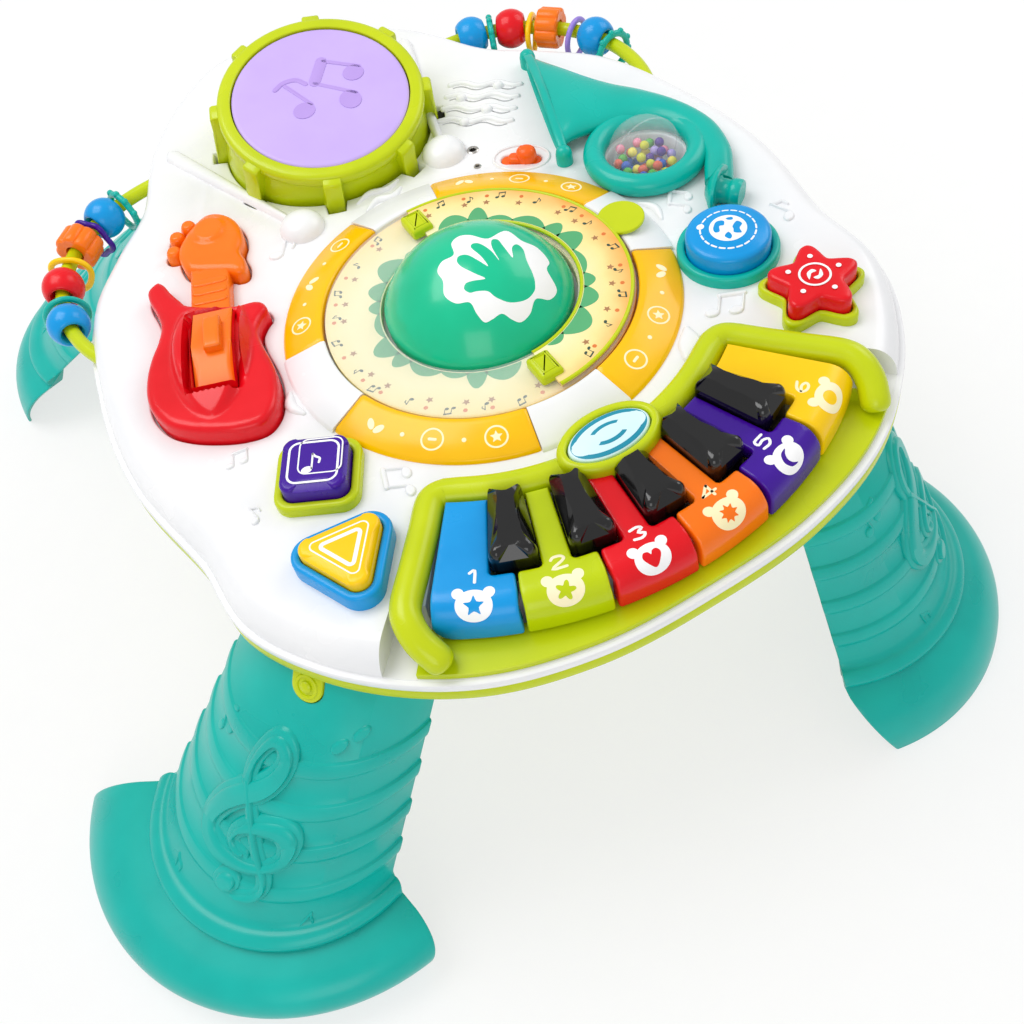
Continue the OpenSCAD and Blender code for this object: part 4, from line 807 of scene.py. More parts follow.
clip_y = 63.75
clips = []
for s in (-1, 1):
    ring = []
    for cx, cy, a0 in ((4.5, -6.5, -90), (4.5, 6.5, 0), (-4.5, 6.5, 90), (-4.5, -6.5, 180)):
        ring += [(cx + 1.5 * math.cos(math.radians(a0 + k * 22.5)), cy + 1.5 * math.sin(math.radians(a0 + k * 22.5))
                  + s * clip_y) for k in range(5)]
    clips.append(slab(ring, [(0, 8.0), (0, 11.4), (0.5, 12.4), (1.4, 13.0), (2.2, 13.2)]))
for s in (-1, 1):
    lip = [(u * 3.2, s * clip_y + v * 5.2) for u, v in ((-1, -1), (1, -1), (1, 1), (-1, 1))]
    clips += shapes([("line", np.array(lip + lip[:1]), 1.1)], deck(z=13.15), 0.5, 0.4)
piece("page_clips", clips, lime_abs, replaces=["hinge_clips"])

# ---- Dome button ------------------------------------------------------------
# The big push button in the middle, a shell of green ABS with a wavy white
# splash and a green open hand pad-printed on its crown.

# High-gloss green ABS: a mirror-like crown that shows the lamps.
green_abs = moulded("green_gloss_abs", "#00C795", "#00BC8B", 0.22, 12.0, coat=0.2)


def spun(profile, n=96, at=(0, 0, 0), axis=(0, 0, 1)):
    """A profile of (radius, distance) turned about an axis; a radius of 0 makes a pole."""
    z = Vector(axis).normalized()
    x = z.orthogonal().normalized()
    y = z.cross(x)
    points, faces, rows = [], [], []
    for r, d in profile:
        if r < 1e-6:
            rows.append([len(points)])
            points.append(tuple(Vector(at) + z * d))
        else:
            rows.append(list(range(len(points), len(points) + n)))
            points += [tuple(Vector(at) + z * d
                             + (x * math.cos(2 * math.pi * i / n) + y * math.sin(2 * math.pi * i / n)) * r)
                             for i in range(n)]
    for low, high in zip(rows, rows[1:]):
        for i in range(n):
            j = (i + 1) % n
            if len(low) == 1 and len(high) > 1:
                faces.append((low[0], high[j], high[i]))
            elif len(high) == 1 and len(low) > 1:
                faces.append((low[i], low[j], high[0]))
            elif len(low) > 1:
                faces.append((low[i], low[j], high[j], high[i]))
    return points, faces


ball_r, ball_z0 = 51.56, -12.06
dome = [(0, 2.4), (47.5, 2.4), (47.55, 7.6)]
dome += [(ball_r * math.cos(math.radians(t)), ball_z0 + ball_r * math.sin(math.radians(t)))
         for t in np.linspace(23, 90, 34)]
dome[-1] = (0, ball_z0 + ball_r)
piece("green_dome", [spun(dome, 128)], green_abs, body="dome_button", replaces=["dome_button"])


def crown(x, y, h):
    """The dome's skin: x and y along it from its top."""
    far = math.hypot(x, y)
    if far < 1e-9:
        return (0, 0, ball_z0 + ball_r + h)
    t = far / ball_r
    r = (ball_r + h) * math.sin(t)
    return (r * x / far, r * y / far, ball_z0 + (ball_r + h) * math.cos(t))


splash = smooth_loop([
    (5.4, 7.5), (11.2, 0.0), (23.5, 3.5), (27.1, -5.8), (33.8, -10.9), (36.2, -20.2), (31.4, -25.6), (32.4, -36.6),
    (24.8, -41.2), (16.2, -39.2), (9.5, -44.8), (2.7, -46.6), (-1.3, -43.5), (-4.5, -38.9), (-10.4, -38.7),
    (-14.6, -37.7), (-15.6, -32.3), (-15.4, -26.0), (-21.2, -21.9), (-23.3, -14.9), (-19.7, -8.6), (-18.8, -1.9),
    (-14.2, 1.2), (-7.7, 0.3), (-4.6, 8.1), (0.7, 10.5)], 6)
hand_loop = smooth_loop([
    (20.0, -31.6), (17.3, -35.5), (10.6, -38.0), (2.2, -36.2), (-2.9, -31.1), (-4.9, -26.5), (-9.5, -23.6),
    (-12.7, -22.2), (-13.9, -19.1), (-11.8, -17.2), (-8.3, -18.1), (-2.6, -20.5), (-5.2, -15.8), (-8.3, -9.3),
    (-8.7, -4.7), (-6.4, -2.3), (-2.8, -4.2), (-0.2, -10.3), (2.1, -15.5), (2.2, -8.9), (1.1, -1.6), (3.1, 0.6),
    (5.9, -1.3), (8.1, -8.1), (8.6, -15.1), (9.6, -6.8), (12.2, -1.8), (15.2, -2.6), (15.2, -8.0), (15.7, -15.9),
    (18.8, -10.0), (22.7, -8.2), (24.2, -12.0), (22.1, -19.1), (21.2, -27.2)], 4)
piece("dome_splash", [relief([np.array(splash), hand_loop], crown, 0.1, 0.05, 2.6, 0.05)], white_ink,
      body="dome_button")

# ---- Drum -------------------------------------------------------------------
# A lime drum shell with eight lugs, moulded in one, standing tilted towards
# the child, and a lilac skin that presses a switch below.

# Satin polypropylene: a waxy lilac with a broad dull highlight.
lilac_abs = moulded("lilac_satin_pp", "#CBB2F3", "#C6ABF0", 0.36, 18.0)
# The same lilac painted darker for the notes: painted shade, as the shade in a pressed-in note, though these notes
# stand slightly raised.
lilac_painted_shade = moulded("lilac_painted_recess_shade_pp", "#BB9DE6", "#B696E2", 0.42, 18.0)
tilt_c, tilt_s = math.cos(drum_tilt), math.sin(drum_tilt)


def drum_place(p):
    """From the drum's own place to the table's, kept above the recess floor."""
    x, y, z = p
    return (x, drum_y + y * tilt_c - z * tilt_s, max(-8.0, drum_high + y * tilt_s + z * tilt_c))


shell = [(50.1, -7), (50.1, 0.2), (50.6, 0.6), (54.6, 0.7), (56.2, 0.4), (57.4, -0.6), (57.9, -2), (57.8, -4.6),
         (57.3, -6.6), (56.6, -7.6), (55.4, -8.4), (55.1, -9.4), (55.5, -11), (56.4, -16), (57.8, -24), (59, -34),
         (59.6, -50)]
inner = [(54, -50), (50.1, -50)]
rings = []
for a in np.radians(np.linspace(0, 360, 145)[:-1]):
    rings.append([drum_place((r * math.cos(a), r * math.sin(a), z)) for r, z in (shell + inner)[::-1]])
rings.append(rings[0])
drum_parts = [loft(rings, (False, False), True)]
for k in range(8):
    a = math.radians(22.5 + k * 45)
    side_line = [(53.5, -1.2), (60.6, -1.2), (61.7, -1.9), (62.2, -3.2), (62.5, -13.4), (62.9, -15), (64.3, -30),
                 (65.6, -50), (55, -50)]
    rings = []
    for w, d in ((-5, 1.0), (-4.7, 0.35), (-4.0, 0.0), (4.0, 0.0), (4.7, 0.35), (5, 1.0)):
        ring = []
        for r, z in side_line:
            rr = r - d * (1.0 if r > 58 else 0.0)
            zz = z - d * (0.8 if z > -4 else 0.0)
            ring.append(drum_place((rr * math.cos(a) - w * math.sin(a), rr * math.sin(a) + w * math.cos(a), zz)))
        rings.append(ring)
    drum_parts.append(loft(rings))
piece("drum_wall", drum_parts, lime_abs, replaces=["drum_shell"])
skin = [(0, -3), (49.5, -3), (49.6, -1.6), (49.3, -0.7), (48.4, -0.1), (47.2, 0.0), (30, 0.25), (0, 0.4)]
skin_mesh = spun(skin, 128)
piece("drum_skin_disc", [([drum_place(p) for p in skin_mesh[0]], skin_mesh[1])], lilac_abs, body="drum_skin",
      replaces=["drum_skin"])


def drumhead(x, y, h):
    """The skin's top."""
    return drum_place((x, y, 0.44 + h))


notes = [("area", [round_loop(-12.5, -5, 6.2, 36, 5.4)]), ("line", [(-7.0, -3), (-13.5, 16)], 2.2),
         ("line", smooth_line([(-19.5, 16.6), (-13.5, 18.6), (-6.5, 17.0), (-3.0, 11.5)], 6), 2.8),
         ("area", [round_loop(13, -11.5, 6.0, 36, 6.4)]), ("area", [round_loop(23.5, 4.5, 6.0, 36, 5.4)]),
         ("line", [(18, -9), (1.5, 9)], 2.2), ("line", [(28.5, 7), (13, 21)], 2.2),
         ("line", [(2.0, 10), (12, 21)], 6.5)]
# The notes wear the darker lilac: painted shade of pressed-in notes.
piece("drumhead_notes", shapes(notes, drumhead, 0.18, 0.15, None, 0.1), lilac_painted_shade, body="drum_skin")

# ---- Horn and rattle ball ---------------------------------------------------
# A teal French horn moulded in one and screwed from below. Its ring holds a
# clear ball on two pins, with loose coloured beads inside it.

# Glossy teal ABS: saturated, with crisp highlights along its tubes.
teal_abs = moulded("teal_gloss_abs", "#00B8A9", "#00AE9F", 0.24, 12.0)
# The same plastic where it is thin, painted paler: painted light, for the light that gets through the thin wall.
teal_lit_sheet = moulded("teal_painted_light_abs", "#4CC9BC", "#3FC0B2", 0.3, 12.0, glow=0.3)
horn_path = np.array([
    (107, 110, 45, 14, -19), (111, 104, 37, 15, -24), (118, 93, 27, 16, -36), (129, 83, 19, 15, -44),
    (141, 73, 14, 14, -50), (152, 59, 10, 13, -62), (158, 44, 8.5, 12, -76), (159, 30, 8, 11.5, -92),
    (155, 14, 7.5, 11, -108), (148, 3, 7.5, 11, -122), (141, -7, 7.5, 11, -128)], float)


def horn_section(p, k=1.0, n=40):
    """One oval section of the horn across its direction of travel."""
    x, y, w, h, turn = p
    t = math.radians(turn)
    return [(x - k * w * math.cos(a) * math.sin(t), y + k * w * math.cos(a) * math.cos(t),
             h / 2 + k * h / 2 * math.sin(a))
            for a in np.linspace(0, 2 * math.pi, n + 1)[:-1]]


way = smooth_line(horn_path, 6)
horn_parts = [loft([horn_section(p) for p in way[::-1]], (True, False))]
bell = [horn_section(way[0], 0.93)] + [horn_section(way[i], 0.9 - 0.012 * i) for i in (2, 5, 8, 11)]
lip = []
mouth = np.array(horn_section(way[0], 1.0, 60))
across = Vector((math.cos(math.radians(-19)), math.sin(math.radians(-19)), 0))
middle = np.array((107, 110, 7.0))
for p in np.vstack([mouth, mouth[:1]]):
    out = Vector(p - middle)
    out = (out - across * out.dot(across)).normalized()
    lip.append([tuple(Vector(p) + (across * math.cos(t) + out * math.sin(t)) * 2.6)
                for t in np.linspace(0, 2 * math.pi, 15)[:-1]])
horn_parts.append(loft(lip, (False, False)))
for s in (-1, 1):
    foot = (107 - s * 46.5 * math.sin(math.radians(-19)), 110 + s * 46.5 * math.cos(math.radians(-19)), 0)
    horn_parts.append(spun([(0, -1), (4.6, -1), (4.6, 6), (4.0, 8.4), (2.4, 10), (0, 10.6)], 32, foot))
ring_tube = []
for a in np.radians(np.linspace(0, 360, 109)):
    ring_tube.append([(ball_at[0] + (27.5 + 6.0 * math.cos(t)) * math.cos(a),
                       ball_at[1] + (27.5 + 6.0 * math.cos(t)) * math.sin(a), 5 + 6.0 * math.sin(t))
                       for t in np.linspace(0, 2 * math.pi, 25)[:-1]])
horn_parts.append(loft(ring_tube, (False, False)))
tail = (math.sin(math.radians(35)), -math.cos(math.radians(35)), 0)
horn_parts.append(spun([(0, -4), (5, -4), (9, -1.6), (12.4, 0.6), (13.2, 1.8), (12.9, 2.9), (11, 3.1), (7.4, 2.4),
                        (6.4, 3.4), (6.2, 8), (6.9, 9), (7.4, 10.4), (7.2, 13.6), (6.6, 14.4), (0, 14.6)], 56,
                        (136.5, -9.5, 5.5), tail))
piece("horn_shell", horn_parts, teal_abs, replaces=["horn"], sharp=45)
# The bell's inside wears the paler teal: painted light coming through the thin wall.
piece("horn_bell_inside", [loft([list(r) for r in bell[::-1]], (True, False))], teal_lit_sheet, sharp=60,
      inward=True)
# Clear polycarbonate: a bubble that shows by its rim and its highlights.
rattle_clear = clear_plastic("clear_polycarbonate", "#F4FBFF", 0.14)
ball_middle = ball_at + (4,)
ball_shell = spun([(0, -20)] + arc(20, -86, 86, 44) + [(0, 20)], 96, ball_middle)
ball_pins = [spun([(0, -0.6), (2, -0.6), (2, 6), (0, 6)], 24, (ball_at[0], ball_at[1] + s * 20, 4), (0, s, 0))
             for s in (-1, 1)]
seam = []
for a in np.radians(np.linspace(0, 360, 97)):
    seam.append([(ball_at[0] + (20.0 + 0.35 * math.cos(t)) * math.cos(a), ball_at[1] + 0.35 * math.sin(t),
                  4 + (20.0 + 0.35 * math.cos(t)) * math.sin(a)) for t in np.linspace(0, 2 * math.pi, 9)[:-1]])
piece("rattle_ball_shell", [ball_shell, loft(seam, (False, False))] + ball_pins, rattle_clear, body="rattle_ball",
      replaces=["rattle_ball"])
bead_tones = [("blue", "#3657C8"), ("violet", "#5B2A9A"), ("green", "#58B947"), ("citron", "#D8D61C"),
              ("coral", "#F0654E"), ("pink", "#F08AA8"), ("lemon", "#F7E45C"), ("lilac", "#B9A2E6")]
chance = np.random.default_rng(11)
spots = []
while len(spots) < 46:
    p = chance.uniform(-16.2, 16.2, 3)
    p[2] = -15.8 + abs(p[2]) * 0.85
    if np.linalg.norm(p) < 16.1 and p[2] < -1.5 + 0.12 * p[1] and all(np.linalg.norm(p - q) > 5.0 for q in spots):
        spots.append(p)
    elif chance.random() < 0.0004:
        break
for k, (word, tone) in enumerate(bead_tones):
    balls = [spun([(0, -2.6)] + arc(2.6, -75, 75, 9) + [(0, 2.6)], 20,
                  (ball_at[0] + p[0], ball_at[1] + p[1], 4 + p[2])) for p in spots[k::8]]
    piece("loose_beads_" + word, balls, moulded(word + "_bead_pp", tone, tone, 0.22, 3.0), body="rattle_ball")

# ---- Guitar -----------------------------------------------------------------
# A red guitar body with an arched bridge over an orange rocker, and an orange
# neck and headstock. Both are ABS mouldings screwed up through the panel.

# Glossy red and orange ABS: strong toy colours with soft highlights.
red_abs = moulded("red_gloss_abs", "#EA0A1C", "#DF0616", 0.24, 12.0)
orange_abs = moulded("orange_gloss_abs", "#FF7D12", "#FA740A", 0.24, 12.0)


def on_guitar(x, y, h):
    """The panel's top in the guitar's own directions: x along its neck."""
    p = rotated([(x, y)], guitar_turn, guitar_at)[0]
    return (p[0], p[1], h)


def body_height(x, y, d):
    """The red body's top: a bevelled edge, and a long drop-shaped hump round the slot."""
    flat = 6.2 + 3.8 * rounded(d, 4.0)
    t = np.clip((x + 27) / 77, 0, 1)
    hump = 10 + 8.2 * np.sin(math.pi * t) ** 0.72
    half = 21.5 * np.clip(np.sin(math.pi * np.clip((x + 27) / 96, 0, 1)), 0, 1) ** 0.5
    k = np.clip((half - np.abs(y + 2.5)) / 5.5, 0, 1)
    k = k * k * (3 - 2 * k)
    return np.maximum(flat, flat + (hump - flat) * k * (d > 3))


slot_mid, slot_half, slot_y, slot_side = 17.0, 26.0, -4.2, 10.6
slot_loop = np.array([(slot_mid + slot_half * a, slot_y + slot_side * b)
                      for a, b in ((-1, -1), (1, -1), (1, 1), (-1, 1))])
slot_loop = np.vstack([np.linspace(slot_loop[i], slot_loop[(i + 1) % 4], 22)[:-1] for i in range(4)])


def body_wall(x, y):
    """Where the body's walls end: at the recess outside, a wall's thickness down in the slot."""
    if abs(x - slot_mid) < slot_half + 0.5 and abs(y - slot_y) < slot_side + 0.5:
        return float(body_height(np.array([x]), np.array([y]), np.array([9.0]))[0]) - 2.0
    return -4.8


piece("guitar_body_moulding", [relief([guitar_loop, slot_loop], on_guitar, body_height, 2.6, 1.6, body_wall)], red_abs,
      replaces=["guitar_body"], sharp=50)


arch_x, arch_z, arch_r = 21, -45, 64.5


def on_arch(x, y, h):
    """The rocker's arc: x along it from its crown, y across."""
    a = x / arch_r
    return on_guitar(arch_x + (arch_r + h) * math.sin(a), y, arch_z + (arch_r + h) * math.cos(a))


well_floor = [on_arch(x, y, -8.8) for x in np.linspace(-33, 30, 30)
              for y in (slot_y - slot_side - 2, slot_y + slot_side + 2)]
well_faces = [(2 * i, 2 * i + 1, 2 * i + 3, 2 * i + 2) for i in range(29)]
piece("guitar_well_floor", [(well_floor, well_faces)], red_abs)
strip = smooth_line([(-33, slot_y - 10), (-33, slot_y), (-33, slot_y + 10)], 4)
strip = np.vstack([strip[::-1], smooth_line([(24.5, slot_y - 10), (24.5, slot_y), (24.5, slot_y + 10)], 4)])
strip = np.vstack([np.linspace(strip[i], strip[(i + 1) % len(strip)], 3)[:-1] for i in range(len(strip))])
bar_pad = smooth_loop([(-10.5, slot_y - 4.9), (-9, slot_y - 5.8), (0, slot_y - 5.8), (9, slot_y - 5.8),
                       (10.5, slot_y - 4.9), (10.5, slot_y + 1.9), (9, slot_y + 2.8), (0, slot_y + 2.8),
                       (-9, slot_y + 2.8), (-10.5, slot_y + 1.9)], 4)
piece("guitar_rocker", [relief([strip], on_arch, lambda x, y, d: -3.2 + 0 * x, 0.5, 2.0, 5.4),
                        relief([bar_pad], on_arch, 1.9, 1.5, 1.4, 3.4)], orange_abs, body="guitar_slider",
      replaces=["guitar_slider"], sharp=50)


def head_height(x, y, d):
    """The headstock: a soft bevel, and a raised lobe in its middle."""
    lobe = np.hypot((x - 111) / 9.5, (y + 2.5) / 8.5)
    k = np.clip((1.15 - lobe) / 0.3, 0, 1)
    return 4.6 + 4.2 * rounded(d, 5.0) + 2.0 * k * k * (3 - 2 * k)


neck_loop = np.array([(45.5, -12.3), (62, -12.3), (82, -12.3), (84, 8.6), (62, 8.6), (45.5, 8.6)])
neck_loop = np.vstack([np.linspace(neck_loop[i], neck_loop[(i + 1) % 6], 6)[:-1] for i in range(6)])
neck_parts = [relief([head_loop], on_guitar, head_height, 2.6, 1.6, 4.6),
              relief([neck_loop], on_guitar, lambda x, y, d: 5.4 + 2.2 * rounded(d, 1.6), 1.6, 3.0, 4.6)]
for x, y in head_pegs:
    neck_parts.append(relief([round_loop(x, y, 4.7, 32)], on_guitar, 6.6, 2.4, 1.6, 4.6))
for x in (57.5, 64.5, 71.5):
    neck_parts.append(relief([smooth_loop([(x - 2, -10.2), (x + 2, -10.2), (x + 2.4, -2), (x + 2, 6.4), (x - 2, 6.4),
                                           (x - 2.4, -2)], 4)], lambda a, b, h: on_guitar(a, b, 7.4 + h), 0.9, 0.8))
piece("guitar_neck_moulding", neck_parts, orange_abs, replaces=["guitar_neck"], sharp=50)

# ---- Press buttons ----------------------------------------------------------
# Four button caps in coloured bezels: square, triangle, round and star. Each
# cap slides in its bezel on a rubber switch and has a pad-printed sign.

# Glossy ABS in purple, blue and yellow for caps and bezels.
purple_abs = moulded("purple_gloss_abs", "#40089A", "#3A0590", 0.24, 10.0)
blue_abs = moulded("blue_gloss_abs", "#009CE4", "#0093DB", 0.24, 10.0)
yellow_abs = moulded("yellow_gloss_abs", "#FFD200", "#FBC900", 0.24, 10.0)


def rounded_square(w, r):
    """A square outline w wide with corners of radius r."""
    n = 7
    out = []
    for cx, cy, a0 in ((1, -1, -90), (1, 1, 0), (-1, 1, 90), (-1, -1, 180)):
        out += [(cx * (w / 2 - r) + r * math.cos(math.radians(a0 + k * 90 / n)),
                 cy * (w / 2 - r) + r * math.sin(math.radians(a0 + k * 90 / n))) for k in range(n + 1)]
    return np.array(out)


def rounded_triangle(arm, r):
    """A triangle outline: circles of radius r at three arms' ends, joined."""
    n = 12
    out = []
    for a in (38, 158, 278):
        for k in range(n + 1):
            t = math.radians(a - 60 + 120 * k / n)
            out.append((arm * math.cos(math.radians(a)) + r * math.cos(t),
                        arm * math.sin(math.radians(a)) + r * math.sin(t)))
    return np.array(out)


def star_cap(r):
    """A star outline with five broad arms and soft points."""
    pts = []
    for i in range(40):
        k = (1, 0.94, 0.8, 0.69, 0.64, 0.69, 0.8, 0.94)[i % 8]
        pts.append((r * k * math.cos(math.radians(i * 9)), r * k * math.sin(math.radians(i * 9))))
    return smooth_loop(pts, 3)


def bezel(outer, inner, high):
    """A frame between two outlines with rounded upper edges."""
    rings = [(outer, 0, -0.3), (outer, 0, high - 1.8), (outer, 0.25, high - 0.9), (outer, 0.8, high - 0.25),
             (outer, 1.6, high),
             (inner, -1.1, high), (inner, -0.35, high - 0.3), (inner, 0, high - 1.0), (inner, 0, -0.3)]
    return loft([[(x, y, z) for x, y in inset_loop(l, d)] for l, d, z in rings], (False, False))


def moved(part, at, turn=0.0):
    """A part made round the origin, turned and moved on the panel."""
    place = deck(at, turn)
    return [place(*p) for p in part[0]], part[1]


def cap_top(loop, high, dome, edge):
    """A cap's crown: rounded edge and a slight dome."""
    return relief([loop], deck(), lambda x, y, d: high - 2.0 + 2.0 * rounded(d, edge)
                  + dome * np.minimum(d / 18, 1) ** 0.8, edge, 2.4, -2.5)


def cap_sign(drawing, at, turn, z):
    """A sign printed flat on a cap."""
    return shapes(drawing, deck(at, turn, z), 0.1, 0.05, None, 0.1)


square_at, tri_at, round_at, star_at = (-115, -50), (-124.5, -101), (117, -47), (130, -97)
sq_bezel = bezel(rounded_square(40, 9), rounded_square(31.8, 6), 6)
piece("square_frame", [moved(sq_bezel, square_at, -30)], lime_abs, replaces=["square_bezel"],
      sharp=50)
piece("square_cap", [moved(cap_top(rounded_square(31, 6), 14, 0.0, 2.2), square_at, -30)], purple_abs,
      body="square_button", replaces=["square_button"], sharp=50)
sign = ([("ring", rounded_square(23, 4.5), 1.1)] + [("ring", rounded_square(20, 4) + (3.2, 3.2), 0.7)]
        + quaver(-2.6, -4.6, 1.0))
piece("square_sign", cap_sign(sign, square_at, -30, 14.0), white_ink, body="square_button")
piece("triangle_frame", [moved(bezel(rounded_triangle(15, 10.5), rounded_triangle(15, 6.4), 9), tri_at, -15)], blue_abs,
      replaces=["triangle_bezel"], sharp=50)
piece("triangle_cap", [moved(cap_top(rounded_triangle(15, 6), 14, 0.0, 2.2), tri_at, -15)], yellow_abs,
      body="triangle_button", replaces=["triangle_button"], sharp=50)
piece("triangle_sign", cap_sign([("ring", rounded_triangle(8.6, 1.6), 1.9), ("ring", rounded_triangle(12.6, 2.6), 0.7)],
                                tri_at, -15, 14.0), white_ink, body="triangle_button")
piece("round_frame", [moved(bezel(round_loop(0, 0, 25.5, 96), round_loop(0, 0, 21.4, 96), 6), round_at)], teal_abs,
      replaces=["round_bezel"], sharp=50)
piece("round_cap", [moved(cap_top(round_loop(0, 0, 21, 96), 14, 3.2, 2.6), round_at)], blue_abs, body="round_button",
      replaces=["round_button"], sharp=50)


def round_crown(x, y, h):
    """The round cap's domed top."""
    far = math.hypot(x, y)
    return (round_at[0] + x, round_at[1] + y, 14.02 + 3.2 * min(max(21 - far, 0) / 18, 1) ** 0.8 + h)


globe = round_loop(0, 0, 9.2, 64)
lands = [smooth_loop([(-6, 4), (-2, 7), (1, 5), (-1, 2), (-3, 3), (-5, 0), (-7, 1)], 4),
         smooth_loop([(2, -1), (6, 1), (7, -2), (4, -4), (3, -7), (0, -5), (1, -3)], 4),
         smooth_loop([(-5, -4), (-2, -3), (-2, -6), (-4, -7)], 4), smooth_loop([(3, 6), (6, 5), (5, 3), (3, 4)], 4)]
sign = [("area", [globe] + lands)] + [("area", [round_loop(-9.5, 9.8, 1.9, 20)])]
sign += [("line", arc(13.6, k * 18, k * 18 + 11, 4), 0.9) for k in range(20)]
piece("round_sign", shapes(sign, round_crown, 0.1, 0.05, 2.0, 0.15), white_ink, body="round_button")
piece("star_frame", [moved(bezel(star_cap(26.5), star_cap(22.8), 6), star_at, 62)], lime_abs, replaces=["star_bezel"],
      sharp=50)
piece("star_cap", [moved(cap_top(star_cap(22), 14, 0.8, 2.2), star_at, 62)], red_abs, body="star_button",
      replaces=["star_button"], sharp=50)
sign = [("ring", round_loop(0, 0, 7.2, 48), 1.1),
        ("area", [smooth_loop([(-3.4, -1), (-1, -3.6), (3, -3.2), (1, -2.2), (-1, -1.4), (-2, 1)], 4)]),
        ("area", [smooth_loop([(3.4, 1), (1, 3.6), (-3, 3.2), (-1, 2.2), (1, 1.4), (2, -1)], 4)])]
sign += [("area", [round_loop(12.4 * math.cos(a), 12.4 * math.sin(a), 1.3, 20)])
         for a in np.radians([0, 72, 144, 216, 288])]
piece("star_sign", cap_sign(sign, star_at, 62, 14.75), white_ink, body="star_button")

# ---- Power knob, jack and microphone ----------------------------------------
# An orange slide switch with a ribbed grip, and two small nickel-plated eyes
# beside it: a socket and the microphone's opening.

# Orange polypropylene: slightly duller than the ABS round it.
knob_orange = moulded("deep_orange_pp", "#FF6712", "#F85F0C", 0.3, 6.0)


def nickel(name):
    """Nickel-plated steel, polished: a bright warm-grey mirror with faint turning marks."""
    made = bpy.data.materials.new(name)
    made.use_nodes = True
    tree = made.node_tree
    shader = tree.nodes["Principled BSDF"]
    place = add_node(tree, "ShaderNodeTexCoord")
    marks = add_node(tree, "ShaderNodeTexNoise",
                     {"Vector": place.outputs["Object"], "Scale": 1000 / 0.8, "Detail": 2.0})
    tint = add_node(tree, "ShaderNodeMix", {"Factor": marks.outputs["Fac"], 6: colour("#B8B4AE"), 7: colour("#D2CEC8")},
                    data_type="RGBA")
    gloss = add_node(tree, "ShaderNodeMapRange", {"Value": marks.outputs["Fac"], "To Min": 0.18, "To Max": 0.32})
    tree.links.new(tint.outputs[2], shader.inputs["Base Color"])
    tree.links.new(gloss.outputs[0], shader.inputs["Roughness"])
    shader.inputs["Metallic"].default_value = 1.0
    return made


knob_parts = [slab(rotated(inset_loop(np.array(stadium), 0.4), knob_turn, knob_at), [(0, -4), (0, -1.0), (0.3, -0.7)])]
sled = np.array([(7.2 + 3.4 * math.cos(a), 3.4 * math.sin(a)) for a in np.linspace(-math.pi / 2, math.pi / 2, 10)]
                + [(-6.6 + 3.4 * math.cos(a), 3.4 * math.sin(a))
                   for a in np.linspace(math.pi / 2, 3 * math.pi / 2, 10)])
sled[:, 0] *= 0.72
grip = []
for r, z in [(5.4, -0.4), (5.6, 2.2), (5.5, 4.2), (5.0, 5.8), (4.0, 6.9), (2.4, 7.5)]:
    ring = []
    for i in range(96):
        a = 2 * math.pi * i / 96
        x, y = r * math.cos(a), r * math.sin(a)
        rib = 0.35 * math.cos(y * 2.6) if z > 1 else 0.0
        ring.append((3.2 + x * (1 + 0.03 * rib), y * 0.9, z + rib * (1 - 0.5 * r / 6)))
    grip.append(ring)
knob_parts.append(moved(loft(grip), knob_at, knob_turn))
knob_parts.append(moved(slab(sled, [(0, -0.6), (0, 1.4), (0.8, 2.2)]), knob_at, knob_turn))
piece("power_slider", knob_parts[1:], knob_orange, body="power_knob", replaces=["power_knob"],
      sharp=50)
piece("power_slot_floor", knob_parts[:1], knob_orange)
# Plated steel: small bright rings that catch the light.
steel_eye = nickel("nickel_plated_eyelet")
eyes = []
for (x, y), r in ((jack_at, 1.0), (microphone_at, 0.62)):
    eyes.append(spun([(1.7 * r, -4), (1.7 * r, 0.2), (2.0 * r, 0.6), (2.8 * r, 0.7), (3.4 * r, 0.3), (3.5 * r, -0.4),
                      (3.5 * r, -4)], 48, (x, y, 0)))
piece("jack_and_microphone_eyelets", eyes, steel_eye)
# Black polypropylene sheets at the bottom of the jack, the microphone opening and the grille slots: painted shade that
# makes the holes look deep.
hole_shade_sheet = moulded("black_painted_hole_shade", "#141414", "#0E0E0F", 0.4, 6.0)
piece("jack_mic_and_grille_painted_shade", [spun([(0, -3.6), (1.7, -3.6), (1.7, -3.2), (0, -3.2)], 32, jack_at + (0,)),
                                      spun([(0, -3), (1.1, -3), (1.1, -2.6), (0, -2.6)], 32, microphone_at + (0,))]
      + [slab(rotated(np.array(wave) * (1.02, 1.1) + (0, k * grille_pitch), grille_turn, grille_at),
              [(0, -4.9), (0, -3.4)]) for k in grille_rows], hole_shade_sheet)

# ---- Keyboard ---------------------------------------------------------------
# Six coloured keys hinged at the back on steel pins, five black keys between
# them, and a lime tube that frames them and carries the mode button.

# Key plastics: a yellower lime than the frame, and piano-black ABS with a lacquer-like shine.
green_key_abs = moulded("lime_key_abs", "#C3D600", "#B9CC00", 0.24, 10.0)
black_abs = moulded("black_piano_abs", "#0B0B0C", "#070708", 0.14, 10.0, coat=0.5)
tube_parts = []


def tube(line, radius, n=28):
    """A round rod along a line of points; radius is one number or one for each point."""
    line = [Vector(p) for p in line]
    radius = [radius] * len(line) if np.isscalar(radius) else radius
    rings, x = [], None
    for i, p in enumerate(line):
        z = (line[min(i + 1, len(line) - 1)] - line[max(i - 1, 0)]).normalized()
        x = (x - z * x.dot(z)).normalized() if x is not None else z.orthogonal().normalized()
        y = z.cross(x)
        rings.append([tuple(p + (x * math.cos(t) + y * math.sin(t)) * radius[i])
                      for t in np.linspace(0, 2 * math.pi, n + 1)[:-1]])
    return loft(rings)


def keyboard_point(r, a, z):
    """a in degrees from the table's front, positive to the right."""
    return (r * math.sin(math.radians(a)), -r * math.cos(math.radians(a)), z)


